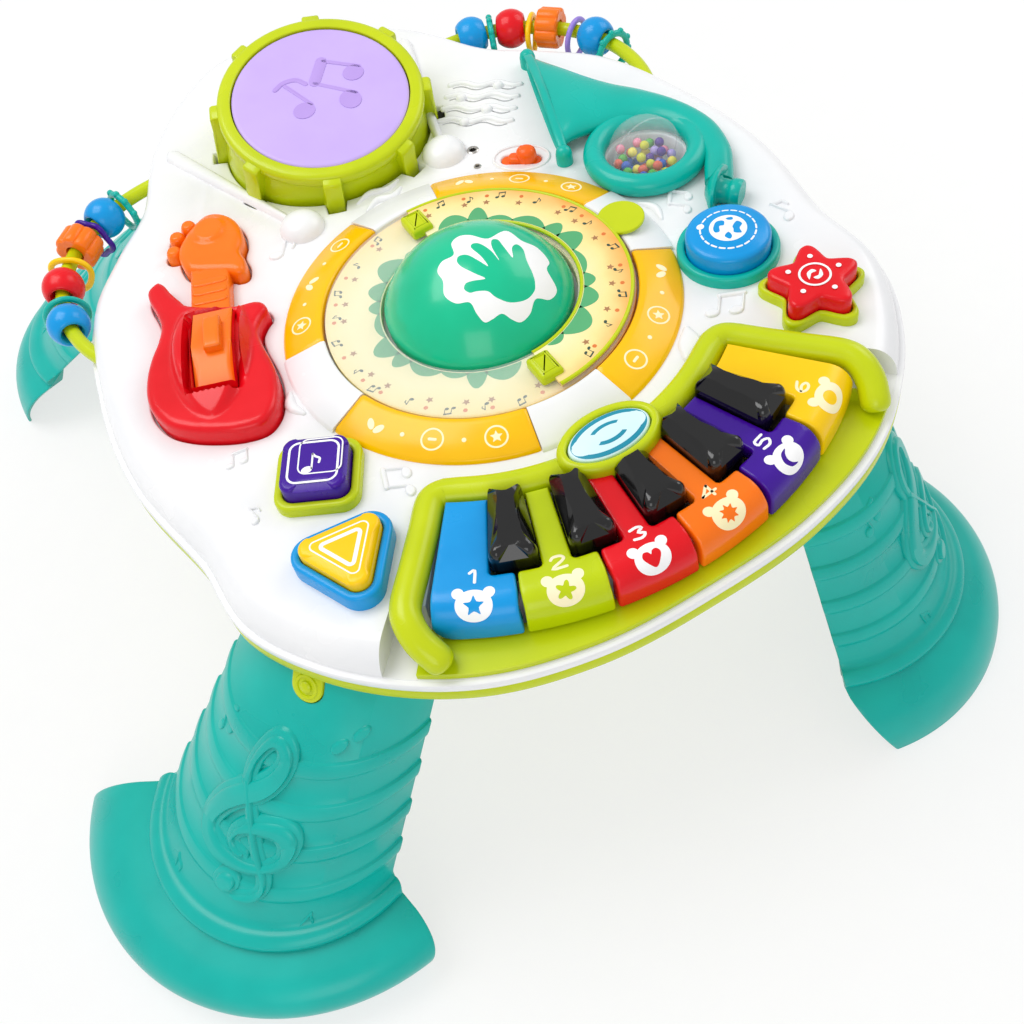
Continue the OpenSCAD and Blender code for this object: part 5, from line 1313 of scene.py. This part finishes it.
whole = [keyboard_point(118.5, a, 3) for a in np.linspace(-34, 34, 40)]
right_end = [(119.2, 37.6, 3), (122, 39.6, 3), (127, 40.4, 3), (140, 40.3, 3), (160, 40.3, 3), (178, 40.3, 3),
             (186, 39.5, 1.8), (192.5, 37.9, -2.2), (196.5, 36.0, -7.0), (198.5, 34.9, -11.5)]
right_line = smooth_line([keyboard_point(*p) for p in right_end], 5)
left_line = smooth_line([keyboard_point(r, -a, z) for r, a, z in right_end], 5)
line = list(left_line[::-1]) + whole + list(right_line)
sizes = [7.0] * len(line)
for k, share in enumerate((0.55, 0.8, 0.92, 0.97)):
    sizes[k] = sizes[-1 - k] = 7.0 * share
tube_parts.append(tube(line, sizes))
mode_oval = round_loop(0, -118, 26, 96, 17)
housing = [(mode_oval, 0, -0.5), (mode_oval, 0, 9.5), (mode_oval, 0.3, 11.4), (mode_oval, 1.0, 13.0),
           (mode_oval, 2.2, 13.9), (mode_oval, 3.4, 14.0),
           (mode_oval, 4.2, 13.8), (mode_oval, 4.7, 13.2), (mode_oval, 4.7, 9.5)]
tube_parts.append(loft([[(x, y, z) for x, y in inset_loop(l, d)] for l, d, z in housing]))
ledge = []
for z, grow in ((-15.9, 0), (-13.0, 0), (-12.6, 0.4)):
    outer = [((rim(a) - 3.6 - grow) * math.cos(math.radians(a)), (rim(a) - 3.6 - grow) * math.sin(math.radians(a)), z)
             for a in np.linspace(front - 38.5, front + 38.5, 80)]
    inner = [(180 * math.cos(math.radians(a)), 180 * math.sin(math.radians(a)), z)
             for a in np.linspace(front + 38.5, front - 38.5, 80)]
    ledge.append(outer + inner)
tube_parts.append(loft(ledge))
piece("keyboard_tube", tube_parts, lime_abs, replaces=["piano_frame"], sharp=40)

# the keys' pitch and width in degrees, and where their top starts, bends and ends
key_pitch = 12.3
key_deg = key_pitch - 1 / 156.5 * 57.29578
key_back, key_flat, key_bend = 127, 48, 11


def key_surface(middle):
    """A key's top unrolled: x across at that radius, y from the back edge, over the rounded front."""
    def place(x, y, h):
        if y < key_flat:
            r, z = key_back + y, 8 + h
        elif y < key_flat + 17.28:
            f = (y - key_flat) / key_bend
            r, z = 175 + (key_bend + h) * math.sin(f), -3 + (key_bend + h) * math.cos(f)
        else:
            r, z = 186 + h, -3 - (y - 65.28)
        a = math.radians(middle - front) + x / (key_back + min(y, 59))
        return (r * math.sin(a), -r * math.cos(a), z)
    return place


def black_half(y):
    """Half the width of a black key and its gap, at a distance from the keys' back."""
    return 7.5 + 3.0 * min(max(y / 38, 0), 1) + 0.8


key_tones = [blue_abs, green_key_abs, red_abs, orange_abs, purple_abs, yellow_abs]
for i in range(6):
    def edge_x(y, s):
        return s * math.radians(key_deg / 2) * (key_back + min(y, 59))

    right_side, left_side = [], []
    for s, out in ((1, right_side), (-1, left_side)):
        neighbour = (s == 1 and i < 5) or (s == -1 and i > 0)
        corner = 9 if not neighbour else 1.6
        end = 74.0
        if neighbour:
            out += [(edge_x(y, s) - s * (black_half(y) - 0.5), y) for y in (0, 10, 20, 30, 36)]
            notch = black_half(38) - 0.5
            out += [(edge_x(38, s) - s * notch, 38.6), (edge_x(38, s) - s * (notch - 0.8), 39.6),
                    (edge_x(38, s) - s * (notch - 1.8), 40), (edge_x(40, s) - s * 1.5, 40),
                    (edge_x(40, s) - s * 0.4, 40.4), (edge_x(41, s), 41.5)]
        else:
            out += [(edge_x(0, s), 0), (edge_x(20, s), 20), (edge_x(40, s), 40)]
        out += [(edge_x(48, s), 48)]
        for k in range(0, 7):
            t = math.radians(k * 15)
            out.append((edge_x(58, s) - s * corner * (1 - math.cos(t)), end - corner * 1.0 + corner * math.sin(t)))
    loop = np.array(right_side + left_side[::-1])
    dense = []
    for k in range(len(loop)):
        a, b = loop[k], loop[(k + 1) % len(loop)]
        m = max(1, int(np.linalg.norm(b - a) / 2.0))
        dense += [a + (b - a) * j / m for j in range(m)]
    place = key_surface(front + (i - 2.5) * key_pitch)
    top = relief([np.array(dense)], place, lambda x, y, d: -1.3 + 1.3 * rounded(d, 1.3), 1.3, 2.2, 7.0)
    piece("key_%d_cap" % (i + 1), [top], key_tones[i], body="key_%d" % (i + 1), replaces=["key_%d" % (i + 1)],
          sharp=50)

digits = {1: [[(-1.4, 2.4), (0.4, 4), (0.4, -4)]],
          2: [[(-2.2, 2.2), (-1.2, 3.8), (1.2, 3.8), (2.3, 2), (1.2, 0), (-2.4, -4), (2.6, -4)]],
          3: [[(-2, 3.4), (0.6, 4), (2.2, 2.4), (0.2, 0.3), (2.3, -1.8), (0.6, -4), (-2.2, -3.3)]],
          4: [[(1.2, 4), (0.2, 2.7), (-1.4, 0.4), (-2.8, -1.4)], [(-2.8, -1.4), (0, -1.4), (2.8, -1.4)],
              [(1.2, 4), (1.2, 0), (1.2, -4)]],
          5: [[(2.2, 4), (-1.8, 4), (-2.1, 0.6), (0.4, 1), (2.3, -1.2), (0.6, -4), (-2.3, -3.4)]],
          6: [[(1.6, 3.8), (-1.2, 2.2), (-2.3, -1.2), (-0.8, -3.8), (1.4, -3.6), (2.2, -1.4), (0.4, 0.2), (-2, -1)]]}


def heart(x, y, s):
    """A heart about 8 mm high at s = 1."""
    pts = [(0, -4), (3, -1), (4.2, 1.6), (3, 3.6), (1, 3.4), (0, 2), (-1, 3.4), (-3, 3.6), (-4.2, 1.6), (-3, -1)]
    return smooth_loop([(x + a * s, y - b * s) for a, b in pts], 4)


def flower(x, y, s):
    """A flower with five petals."""
    return np.array([(x + s * (3.4 + 1.1 * math.cos(5 * t)) * math.cos(t),
                      y + s * (3.4 + 1.1 * math.cos(5 * t)) * math.sin(t))
                      for t in np.linspace(0, 2 * math.pi, 61)[:-1]])


def moon(x, y, s):
    """A crescent moon."""
    pts = [(1.6, 4.2), (-2.2, 3.6), (-4.2, 0), (-2.2, -3.6), (1.6, -4.2), (-0.6, -2.4), (-1.6, 0), (-0.6, 2.4)]
    return smooth_loop([(x + a * s, y - b * s) for a, b in pts], 4)


for i in range(6):
    place = key_surface(front + (i - 2.5) * key_pitch)
    cy = 54.0
    figure = [star_loop(0, cy, 4.6, turn=-90), flower(0, cy, 1.0), heart(0, cy, 1.0), star_loop(0, cy, 4.4, 8, 0.62),
              moon(0.6, cy, 1.0), round_loop(0, cy, 3.6, 32)][i]
    badge = round_loop(0, cy, 8.0, 60, 7.2)
    drawing = [("area", [badge, figure]), ("area", [round_loop(-6.6, cy - 5.6, 2.6, 24)]),
               ("area", [round_loop(6.6, cy - 5.6, 2.6, 24)])]
    drawing += [("line", smooth_line([(x * 1.25, 40.2 - y * 0.74) for x, y in stroke], 3), 1.35)
                for stroke in digits[i + 1]]
    piece("key_%d_sign" % (i + 1), shapes(drawing, lambda x, y, h, q=place: q(x, y, h + 0.02), 0.08, 0.05, 2.0, 0.1),
          cream_ink if i in (1, 3, 5) else white_ink, body="key_%d" % (i + 1))

black_parts = []
for i in range(5):
    outline = []
    for cx, cy, rad, a0 in ((10.5, 38, 4.2, -90), (7.5, 0, 1.2, 0), (-7.5, 0, 1.2, 90), (-10.5, 38, 4.2, 180)):
        sx = 1 if cx > 0 else -1
        mx, my = cx - sx * rad, (-126 - cy) + (rad if cy > 10 else -rad)
        outline += [(mx + rad * math.cos(math.radians(a0 + k * 18)), my + rad * math.sin(math.radians(a0 + k * 18)))
                    for k in range(6)]
    top = relief([np.array(outline)], deck(), lambda x, y, d: np.interp(d, (0, 0.3, 0.9, 1.6, 2.6, 4.0),
        (11.6, 13.4, 14.9, 15.9, 16.6, 17.0)), 3.6, 2.4, 4.0)
    black_parts.append(moved(top, (0, 0), (i - 2) * key_pitch))
blacks = piece("black_key_caps", black_parts, black_abs, replaces=["black_keys"], sharp=40)
cut(blacks, [slab(round_loop(0, -118, 26.3, 96, 17.3), [(0, 8.2), (0, 30)])])
# Zinc-plated steel: grey metal seen in the gaps between the keys.
steel_pin = nickel("zinc_plated_pin")
pins = []
for i in range(6):
    a = math.radians((i - 2.5) * key_pitch)
    pins.append(spun([(0, -13), (1.5, -13), (1.5, 13), (0, 13)], 20, (131 * math.sin(a), -131 * math.cos(a), -9),
                     (math.cos(a), math.sin(a), 0)))
piece("key_hinge_pins", pins, steel_pin)

# Polyester label: pale and smooth under a clear film.
cyan_label = moulded("cyan_polyester_label", "#DDF6FA", "#D2F1F7", 0.3, 8.0)
cap_oval = round_loop(0, -118, 20.4, 96, 11.4)
piece("mode_cap", [relief([cap_oval], deck(), lambda x, y, d: 12.4 + 1.2 * rounded(d, 1.2)
                          + 1.6 * np.minimum(d / 11, 1) ** 0.8, 1.2, 2.4, -10.0)],
      cyan_label, body="mode_button", replaces=["mode_button"], sharp=50)


def mode_crown(x, y, h):
    """The mode cap's domed top."""
    d = max(0.0, 11.4 * (1 - math.hypot(x / 20.4, y / 11.4)))
    return (x, -118 + y, 13.62 + 1.6 * min(d / 11, 1) ** 0.8 + h)


# Label ink: flat blue-green under the film.
mode_ink = moulded("blue_green_label_ink", "#1A93AE", "#178AA4", 0.35, 6.0, bump=0.02)
piece("mode_ring", shapes([("ring", round_loop(0, 0, 18.0, 80, 9.4), 2.2)], mode_crown, 0.1, 0.05, None, 0.2), mode_ink,
      body="mode_button")
turn_arrows = []
for s in (1, -1):
    arc_line = [(s * (8.6 * math.cos(t)), s * (4.6 * math.sin(t))) for t in np.radians(np.linspace(25, 160, 14))]
    turn_arrows.append(("line", arc_line, 1.9))
    tip = np.array(arc_line[-1])
    turn_arrows.append(("area", [np.array([tip + (s * -2.6, s * 0.8), tip + (s * 2.4, s * 1.2),
                                           tip + (s * -0.6, s * -3.0)])]))
piece("mode_arrows", shapes(turn_arrows, mode_crown, 0.1, 0.05, 2.0, 0.2), mode_ink, body="mode_button")

# ---- Bead rails -------------------------------------------------------------
# A bent lime tube behind each shoulder, its ends held in the panel, threaded
# with loose beads: bored balls, lobed barrels, thin rings and knobbed rings.

rail_x, rail_y, rail_r, rail_z = 96, 138, 84, -11
for s in (-1, 1):
    line = [(s * (rail_x + rail_r * math.cos(a)), rail_y + rail_r * math.sin(a), rail_z)
            for a in np.radians(np.linspace(-31, 94, 90))]
    piece("rail_tube_left" if s < 0 else "rail_tube_right", [tube(line, 4.0, 24)], lime_abs,
          replaces=["rail_left" if s < 0 else "rail_right"])


def bored_ball():
    """A ball with flat ends and a wide bore, its axis along its own Z."""
    out = [(6.4, -8.2), (7.2, -8.6)] + arc(11.6, -46, 46, 22) + [(7.2, 8.6), (6.4, 8.2), (5.3, 6.6), (5.3, -6.6),
        (6.4, -8.2)]
    return spun(out, 64)


def lobed_barrel():
    """A short barrel with eight soft lobes and a bore."""
    rings = []
    for k, z in ((0.86, -7.0), (0.96, -6.6), (1.0, -5.6), (1.0, 5.6), (0.96, 6.6), (0.86, 7.0)):
        rings.append([(k * (10.6 + 1.5 * abs(math.cos(4 * t)) ** 0.7) * math.cos(t),
                       k * (10.6 + 1.5 * abs(math.cos(4 * t)) ** 0.7) * math.sin(t), z)
                       for t in np.linspace(0, 2 * math.pi, 129)[:-1]])
    rings.append([(5.3 * math.cos(t), 5.3 * math.sin(t), 6.4) for t in np.linspace(0, 2 * math.pi, 129)[:-1]])
    rings.append([(5.3 * math.cos(t), 5.3 * math.sin(t), -6.4) for t in np.linspace(0, 2 * math.pi, 129)[:-1]])
    rings.append(rings[0])
    return loft(rings, (False, False))


def hoop(outline, thick, knobs=0, knob_r=2.2):
    """A ring along a closed outline in its own XY plane, with knobs round it."""
    c = np.array(outline, float)
    t = np.roll(c, -1, 0) - np.roll(c, 1, 0)
    t /= np.linalg.norm(t, axis=1)[:, None]
    rings = []
    for p, d in zip(c, t):
        rings.append([(p[0] + d[1] * thick * math.cos(a), p[1] - d[0] * thick * math.cos(a),
                       thick * 0.92 * math.sin(a)) for a in np.linspace(0, 2 * math.pi, 17)[:-1]])
    rings.append(rings[0])
    parts = [loft(rings, (False, False))]
    for k in range(knobs):
        p = c[int(k * len(c) / knobs)]
        out = p / np.linalg.norm(p)
        parts.append(spun([(0, -knob_r)] + arc(knob_r, -70, 70, 8) + [(0, knob_r)], 20,
                          (p[0] + out[0] * 1.4, p[1] + out[1] * 1.4, 0)))
    return parts


def wavy(r, wave_h, n):
    """A ring's outline with n waves."""
    return np.array([((r + wave_h * math.cos(n * t)) * math.cos(t), (r + wave_h * math.cos(n * t)) * math.sin(t))
                     for t in np.linspace(0, 2 * math.pi, 97)[:-1]])


def thread(parts, s, angle, hang=0.0):
    """Puts a bead made round its own Z onto a rail at an angle; a hanging ring drops by hang."""
    a = math.radians(angle)
    centre = Vector((s * (rail_x + rail_r * math.cos(a)), rail_y + rail_r * math.sin(a), rail_z))
    along = Vector((-s * math.sin(a), math.cos(a), 0))
    down = Vector((0, 0, -1))
    third = along.cross(down)
    across_rail = Matrix((down, third, along)).transposed()
    out = []
    for points, faces in parts:
        out.append(([tuple(centre + across_rail @ (Vector(p) + Vector((hang, 0, 0)))) for p in points], faces))
    return out


# Glossy lilac ABS for one ring.
lilac_bead = moulded("lilac_bead_abs", "#A48BE0", "#9A80DA", 0.26, 8.0)
left_threads = [("bead_l1", 73, "knobbed", teal_abs), ("bead_l2", 64, "ball", blue_abs),
                ("bead_l3", 55.5, "wavy", purple_abs), ("bead_l4", 47, "lobed", orange_abs),
                ("bead_l5", 35.5, "soft", yellow_abs), ("bead_l6", 24, "ball", red_abs),
                ("bead_l7", 12.5, "plain", teal_abs), ("bead_l8", 2.8, "ball", blue_abs)]
right_threads = [("bead_r1", 74.6, "ball", blue_abs), ("bead_r2", 66.1, "knobbed", teal_abs),
                 ("bead_r3", 57.6, "ball", red_abs), ("bead_r4", 49.1, "soft", yellow_abs),
                 ("bead_r5", 40.6, "lobed", orange_abs), ("bead_r6", 29, "plain", lilac_bead),
                 ("bead_r7", 19, "ball", blue_abs), ("bead_r8", 9.5, "knobbed", teal_abs)]
for s, group in ((-1, left_threads), (1, right_threads)):
    for name, angle, kind, finish in group:
        if kind == "ball":
            parts = thread([bored_ball()], s, angle)
        elif kind == "lobed":
            parts = thread([lobed_barrel()], s, angle)
        else:
            ring = {"knobbed": hoop(wavy(11.2, 0.0, 1), 2.0, 10, 1.9), "wavy": hoop(wavy(11.2, 0.9, 5), 1.8),
                    "soft": hoop(wavy(11.2, 0.8, 3), 1.8), "plain": hoop(wavy(11.2, 0.0, 1), 1.8)}[kind]
            parts = thread(ring, s, angle, hang=5.0)
        piece(name + "_" + kind, parts, finish, body=name, replaces=[name], sharp=50)

# ---- Legs -------------------------------------------------------------------
# Four splayed half-cone legs of teal ABS, each one thin injection moulding that
# snaps over a tongue of the tray: four raised staff bands, a rolled shoulder
# and a wide bell-shaped skirt. A treble clef and small notes stand on the skin.

# Satin teal ABS: finely textured in the mould, so its highlights are broad.
leg_abs = moulded("teal_satin_abs", "#00B7AC", "#00ADA3", 0.3, 16.0)
# for each leg: the section's middle at the top, at the shoulder and on the floor, the skirt's
# radius and the way it faces
leg_places = [((-117, -92), (-199, -97), (-190, -68.5), 125, 212), ((92, -105), (108, -137), (108, -137), 102, 318.5),
              ((-70, 183), (-138, 304), (-138, 304), 102, 119.3), ((70, 183), (138, 304), (138, 304), 102, 60.7)]


def on_leg(k):
    """Leg k's skin: x round it in mm at a radius of 62, y above the floor, h outwards."""
    top, foot, low, _, turn = leg_places[k]

    def place(x, y, h):
        t, u = min((172 - y) / 131, 1), max(0.0, 1 - y / 35)
        a = math.radians(turn) + x * (1 - 0.19 * u ** 0.7) / 62
        r = 50 + 21 * t + h
        return (top[0] + (foot[0] - top[0]) * t + (low[0] - foot[0]) * u + r * math.cos(a),
                top[1] + (foot[1] - top[1]) * t + (low[1] - foot[1]) * u + r * math.sin(a), y - 200)
    return place


def skirt_out(k, y):
    """How far leg k's skirt stands out at a height above the floor."""
    return 6 + (leg_places[k][3] - 77) * math.sqrt(max(0.0, 1 - (y / 35) ** 2))


def leg_profile(k):
    """(height, outward step) down the outside of leg k's wall and back up its inside."""
    out = [(172, 0)]
    for y in (130.6, 109.6, 88.4, 66.8):
        out += [(y + 0.5, 0), (y + 0.2, 0.35), (y, 1.1), (y - 0.5, 1.4), (y - 5.4, 1.4), (y - 7.2, 1.0),
                (y - 8.2, 0.25), (y - 8.8, 0)]
    out += [(48, 0), (46, 0.5)] + [(40 + 5 * math.sin(math.radians(t)), 3 + 5 * math.cos(math.radians(t)))
                                   for t in range(100, -56, -12)]
    out += [(35 * math.cos(math.radians(t)), skirt_out(k, 35 * math.cos(math.radians(t)))) for t in range(15, 91, 5)]
    back = []
    for t in range(90, 24, -5):
        y = 35 * math.cos(math.radians(t))
        back.append((y, skirt_out(k, y + 3) - 2))
    back += [(35, -3), (48, -3), (110, -3), (172, -3)]
    return out, back


clef_strand = smooth_line([(-1.0, 80.4, 1.9), (-6.2, 81.9, 2.8), (-8.9, 85.0, 3.4), (-7.6, 89.9, 3.9),
                           (-2.4, 94.1, 4.7), (6.3, 97.0, 6.3), (14.0, 96.5, 7.9), (18.8, 92.3, 8.4),
                           (19.5, 85.4, 6.6), (16.0, 80.3, 4.3), (10.2, 77.3, 3.8), (2.6, 75.8, 4.3),
                           (-6.2, 75.7, 5.5), (-15.7, 76.9, 7.4), (-22.9, 81.1, 8.7), (-24.7, 88.2, 9.4),
                           (-20.3, 98.3, 9.9), (-12.2, 107.1, 9.9), (-3.8, 113.3, 9.8), (1.4, 119.7, 9.2),
                           (4.0, 126.8, 8.2), (3.0, 133.0, 7.1), (-1.8, 137.0, 5.8), (-6.9, 135.9, 5.3),
                           (-11.2, 129.1, 4.9), (-12.9, 120.5, 4.6), (-11.7, 113.3, 4.4)], 6)
clef_stem = smooth_line([(-11.7, 113.3, 4.0), (-5.9, 103.4, 3.3), (-0.9, 94.7, 3.3), (3.7, 86.5, 3.3), (9.0, 78.1, 3.2),
                         (12.6, 71.9, 3.6), (13.4, 65.9, 3.8), (10.0, 61.6, 3.6), (4.2, 59.9, 2.5),
                         (-1.3, 59.2, 1.0)], 6)
leg_names = ["leg_front_left", "leg_front_right", "leg_back_left", "leg_back_right"]
for k, word in enumerate(leg_names):
    skin = on_leg(k)
    top, foot, _, _, turn = leg_places[k]
    out, back = leg_profile(k)
    columns = []
    for x, ease in [(-82.2, 0.8), (-81.9, 0.25), (-81.4, 0.0)] + [(v, 0.0)
        for v in np.linspace(-80, 80, 105)] + [(81.4, 0.0), (81.9, 0.25), (82.2, 0.8)]:
        columns.append([skin(x, y, h - ease) for y, h in out] + [skin(x, y, h + ease) for y, h in back])
    lean = math.atan(((foot[0] - top[0]) * math.cos(math.radians(turn))
                      + (foot[1] - top[1]) * math.sin(math.radians(turn)) + 21) / 131)
    radial = Vector((math.cos(math.radians(turn)), math.sin(math.radians(turn)), 0))
    axis = radial * math.cos(lean) + Vector((0, 0, math.sin(lean)))
    rise = Vector((0, 0, math.cos(lean))) - radial * math.sin(lean)
    middle = Vector(skin(0, 163, 0))

    def on_snap(s, t, h):
        return tuple(middle + axis.cross(rise) * -s + rise * t + axis * h)

    wall = piece(word + "_moulding", [loft(columns)], leg_abs, replaces=[word], sharp=40)
    half_round = arc(8.6, 180, 360, 33) + [(8.6, 16), (-8.6, 16)]
    notch = slab(half_round, [(0, -8), (0, 7)])
    cut(wall, [([on_snap(*p) for p in notch[0]], notch[1])])
    marks = []
    for rows, grow, high in ((clef_strand, 5.0, 2.3), (clef_stem, 4.4, 2.2), (clef_strand, 0.0, 4.0),
                             (clef_stem, 0.0, 4.3)):
        marks.append(ribbon(rows[:, :2], rows[:, 2] + grow, skin, high, 0.9 if grow else 1.1, 0.3))
    for r, high in ((7.6, 2.3), (5.2, 4.2)):
        marks.append(relief([round_loop(-4.2, 64.2, r, 40, r * 0.82, 15)], skin, high, 1.1, 2.2, 0.3))
    marks += shapes(beamed(-46, 117, 1.25, 16), skin, 1.0, 0.9, 2.2)
    marks += shapes(quaver(-37, 41, 1.2, 8), skin, 1.0, 0.9, 2.2)
    marks += shapes(quaver(31, 42.5, 1.35, -30), skin, 1.0, 0.9, 2.2)
    for x, y in ((28.4, 138.6), (38.2, 143.6)):
        marks.append(relief([round_loop(x, y, 4.6, 28, 3.2, 25)], skin, 1.3, 1.6, 2.2))
    piece(word + "_reliefs", marks, leg_abs, sharp=50)
    tongue = slab(arc(8, 180, 360, 33) + [(8, 11), (-8, 11)], [(0, -4.6), (0, 0.3), (0.25, 0.7), (0.8, 0.9)])
    snap = [([on_snap(*p) for p in tongue[0]], tongue[1]),
            spun([(4.3, 0.7), (4.5, 1.3), (5.0, 1.6), (5.8, 1.5), (6.3, 0.7)], 56, tuple(middle), tuple(axis)),
            spun([(2.9, 0.7), (2.8, 1.9), (2.2, 2.5), (0, 2.7)], 40, tuple(middle), tuple(axis))]
    collar = []
    for x in np.linspace(-70, 70, 60):
        collar.append([skin(x, y, h) for y, h in ((172.6, -3.2), (149, -3.2), (148, -3.9), (148, -5.0), (149, -5.7),
                                                  (172.6, -5.7))])
    snap.append(loft(collar))
    piece(word + "_snap", snap, lime_abs, sharp=40)

# ---- Tray and what it carries -----------------------------------------------
# A lime ABS tray closes the panel from below: a thin band that shows under the
# white lip, and a round pan for the works, with a battery door and six screws.


# the round pan's middle is this far behind the dome's
pan_y = 50


def pan_ring(r, z):
    """A circle about the pan's middle, with a point on each of the rim's directions."""
    out = []
    for i in range(360):
        c, s = math.cos(2 * math.pi * i / 360), math.sin(2 * math.pi * i / 360)
        far = pan_y * s + math.sqrt(max(0.0, (pan_y * s) ** 2 - pan_y ** 2 + r * r))
        out.append((far * c, far * s, z))
    return out


tray_rings = [pan_ring(137.5, -45.5), pan_ring(137.5, -25.5), rim_ring(4, -25.5), rim_ring(4, -21.1),
              rim_ring(0.6, -21.1), rim_ring(0.4, -21.4), rim_ring(0.1, -26.6),
              rim_ring(0.3, -27.3), rim_ring(0.8, -27.8), rim_ring(1.6, -28), pan_ring(141.5, -28),
              pan_ring(140.4, -28.4), pan_ring(140, -29.5), pan_ring(140, -46),
              pan_ring(139.4, -47.4), pan_ring(138, -48)]
tray = piece("tray_moulding", [loft(tray_rings)], lime_abs, replaces=["base_tray"])
door_at = (0, pan_y)
bay = [(-31, -25), (31, -25), (31, 25), (-31, 25)]
screw_places = [(160 * math.cos(math.radians(a)), pan_y + 160 * math.sin(math.radians(a)))
                for a in (-15, 21, 81, 165, 200, 261)]
holes = [slab(rotated(bay, 0, door_at), [(0, -52), (0, -40)])] + [slab(round_loop(x, y, 1.7, 20), [(0, -32), (0, -22)])
    for x, y in screw_places]
cut(tray, holes)


def underside(x, y, h):
    """The pan's outer floor, h downwards."""
    return (x, pan_y + y, -48 - h)


ribs = [ribbon(round_loop(0, 0, r, 160), 2.2, underside, 1.2, 0.9, closed=True) for r in (60, 92, 124)]
for k in range(12):
    a = math.radians(k * 30 + 15)
    ribs.append(ribbon([(62 * math.cos(a), 62 * math.sin(a)), (122 * math.cos(a), 122 * math.sin(a))], 2.2, underside,
                       1.2, 0.9))
piece("tray_ribs", ribs, lime_abs)
door = slab(rotated([(-30.7, -24.7), (30.7, -24.7), (30.7, 24.7), (-30.7, 24.7)], 0, door_at),
            [(0.5, -48.2), (0, -47.8), (0, -45.6)])
grip_lines = [ribbon([(-14, y), (14, y)], 1.8, underside, 0.9, 0.8)
              for y in (-16, -12, -8)] + [ribbon([(-5, 12), (0, 17), (5, 12)], 1.6, underside, 0.9, 0.7)]
piece("battery_door_moulding", [door] + grip_lines, lime_abs, replaces=["battery_door"])
# Zinc-plated steel: bright grey screw heads.
zinc_screw = nickel("zinc_plated_screw")
screws, crosses = [], []
for x, y in screw_places:
    screws.append(spun([(0, -29.9), (1.6, -29.9), (2.6, -29.5), (3.0, -28.7), (3.0, -28.05), (1.5, -28.0), (1.5, -16.2),
                        (0, -15.8)], 32, (x, y, 0)))
    for turn in (20, 110):
        crosses.append(slab(rotated([(-1.7, -0.35), (1.7, -0.35), (1.7, 0.35), (-1.7, 0.35)], turn, (x, y)),
                            [(0, -31), (0, -28.9)]))
screw_set = piece("tray_screws", screws, zinc_screw, replaces=["case_screws"])
cut(screw_set, crosses)


def solder_mask(name):
    """Circuit board: green lacquer over copper tracks, which show as a fine paler grid."""
    made = bpy.data.materials.new(name)
    made.use_nodes = True
    tree = made.node_tree
    shader = tree.nodes["Principled BSDF"]
    place = add_node(tree, "ShaderNodeTexCoord")
    tracks = add_node(tree, "ShaderNodeTexBrick",
                      {"Vector": place.outputs["Object"], "Scale": 1000 / 8.0, "Mortar Size": 0.03,
                       "Color1": colour("#1E7A3C"), "Color2": colour("#1A6F36"), "Mortar": colour("#3E9A56")})
    tree.links.new(tracks.outputs["Color"], shader.inputs["Base Color"])
    shader.inputs["Roughness"].default_value = 0.35
    return made


inner_finishes = {"batteries": nickel("steel_battery_can"), "circuit_board": solder_mask("green_solder_mask"),
                  "speaker": moulded("speaker_paper_cone", "#2B2B2D", "#222224", 0.7, 3.0)}
for node, finish in inner_finishes.items():
    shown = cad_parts[node]
    shown.data.materials.clear()
    shown.data.materials.append(finish)

low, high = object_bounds()
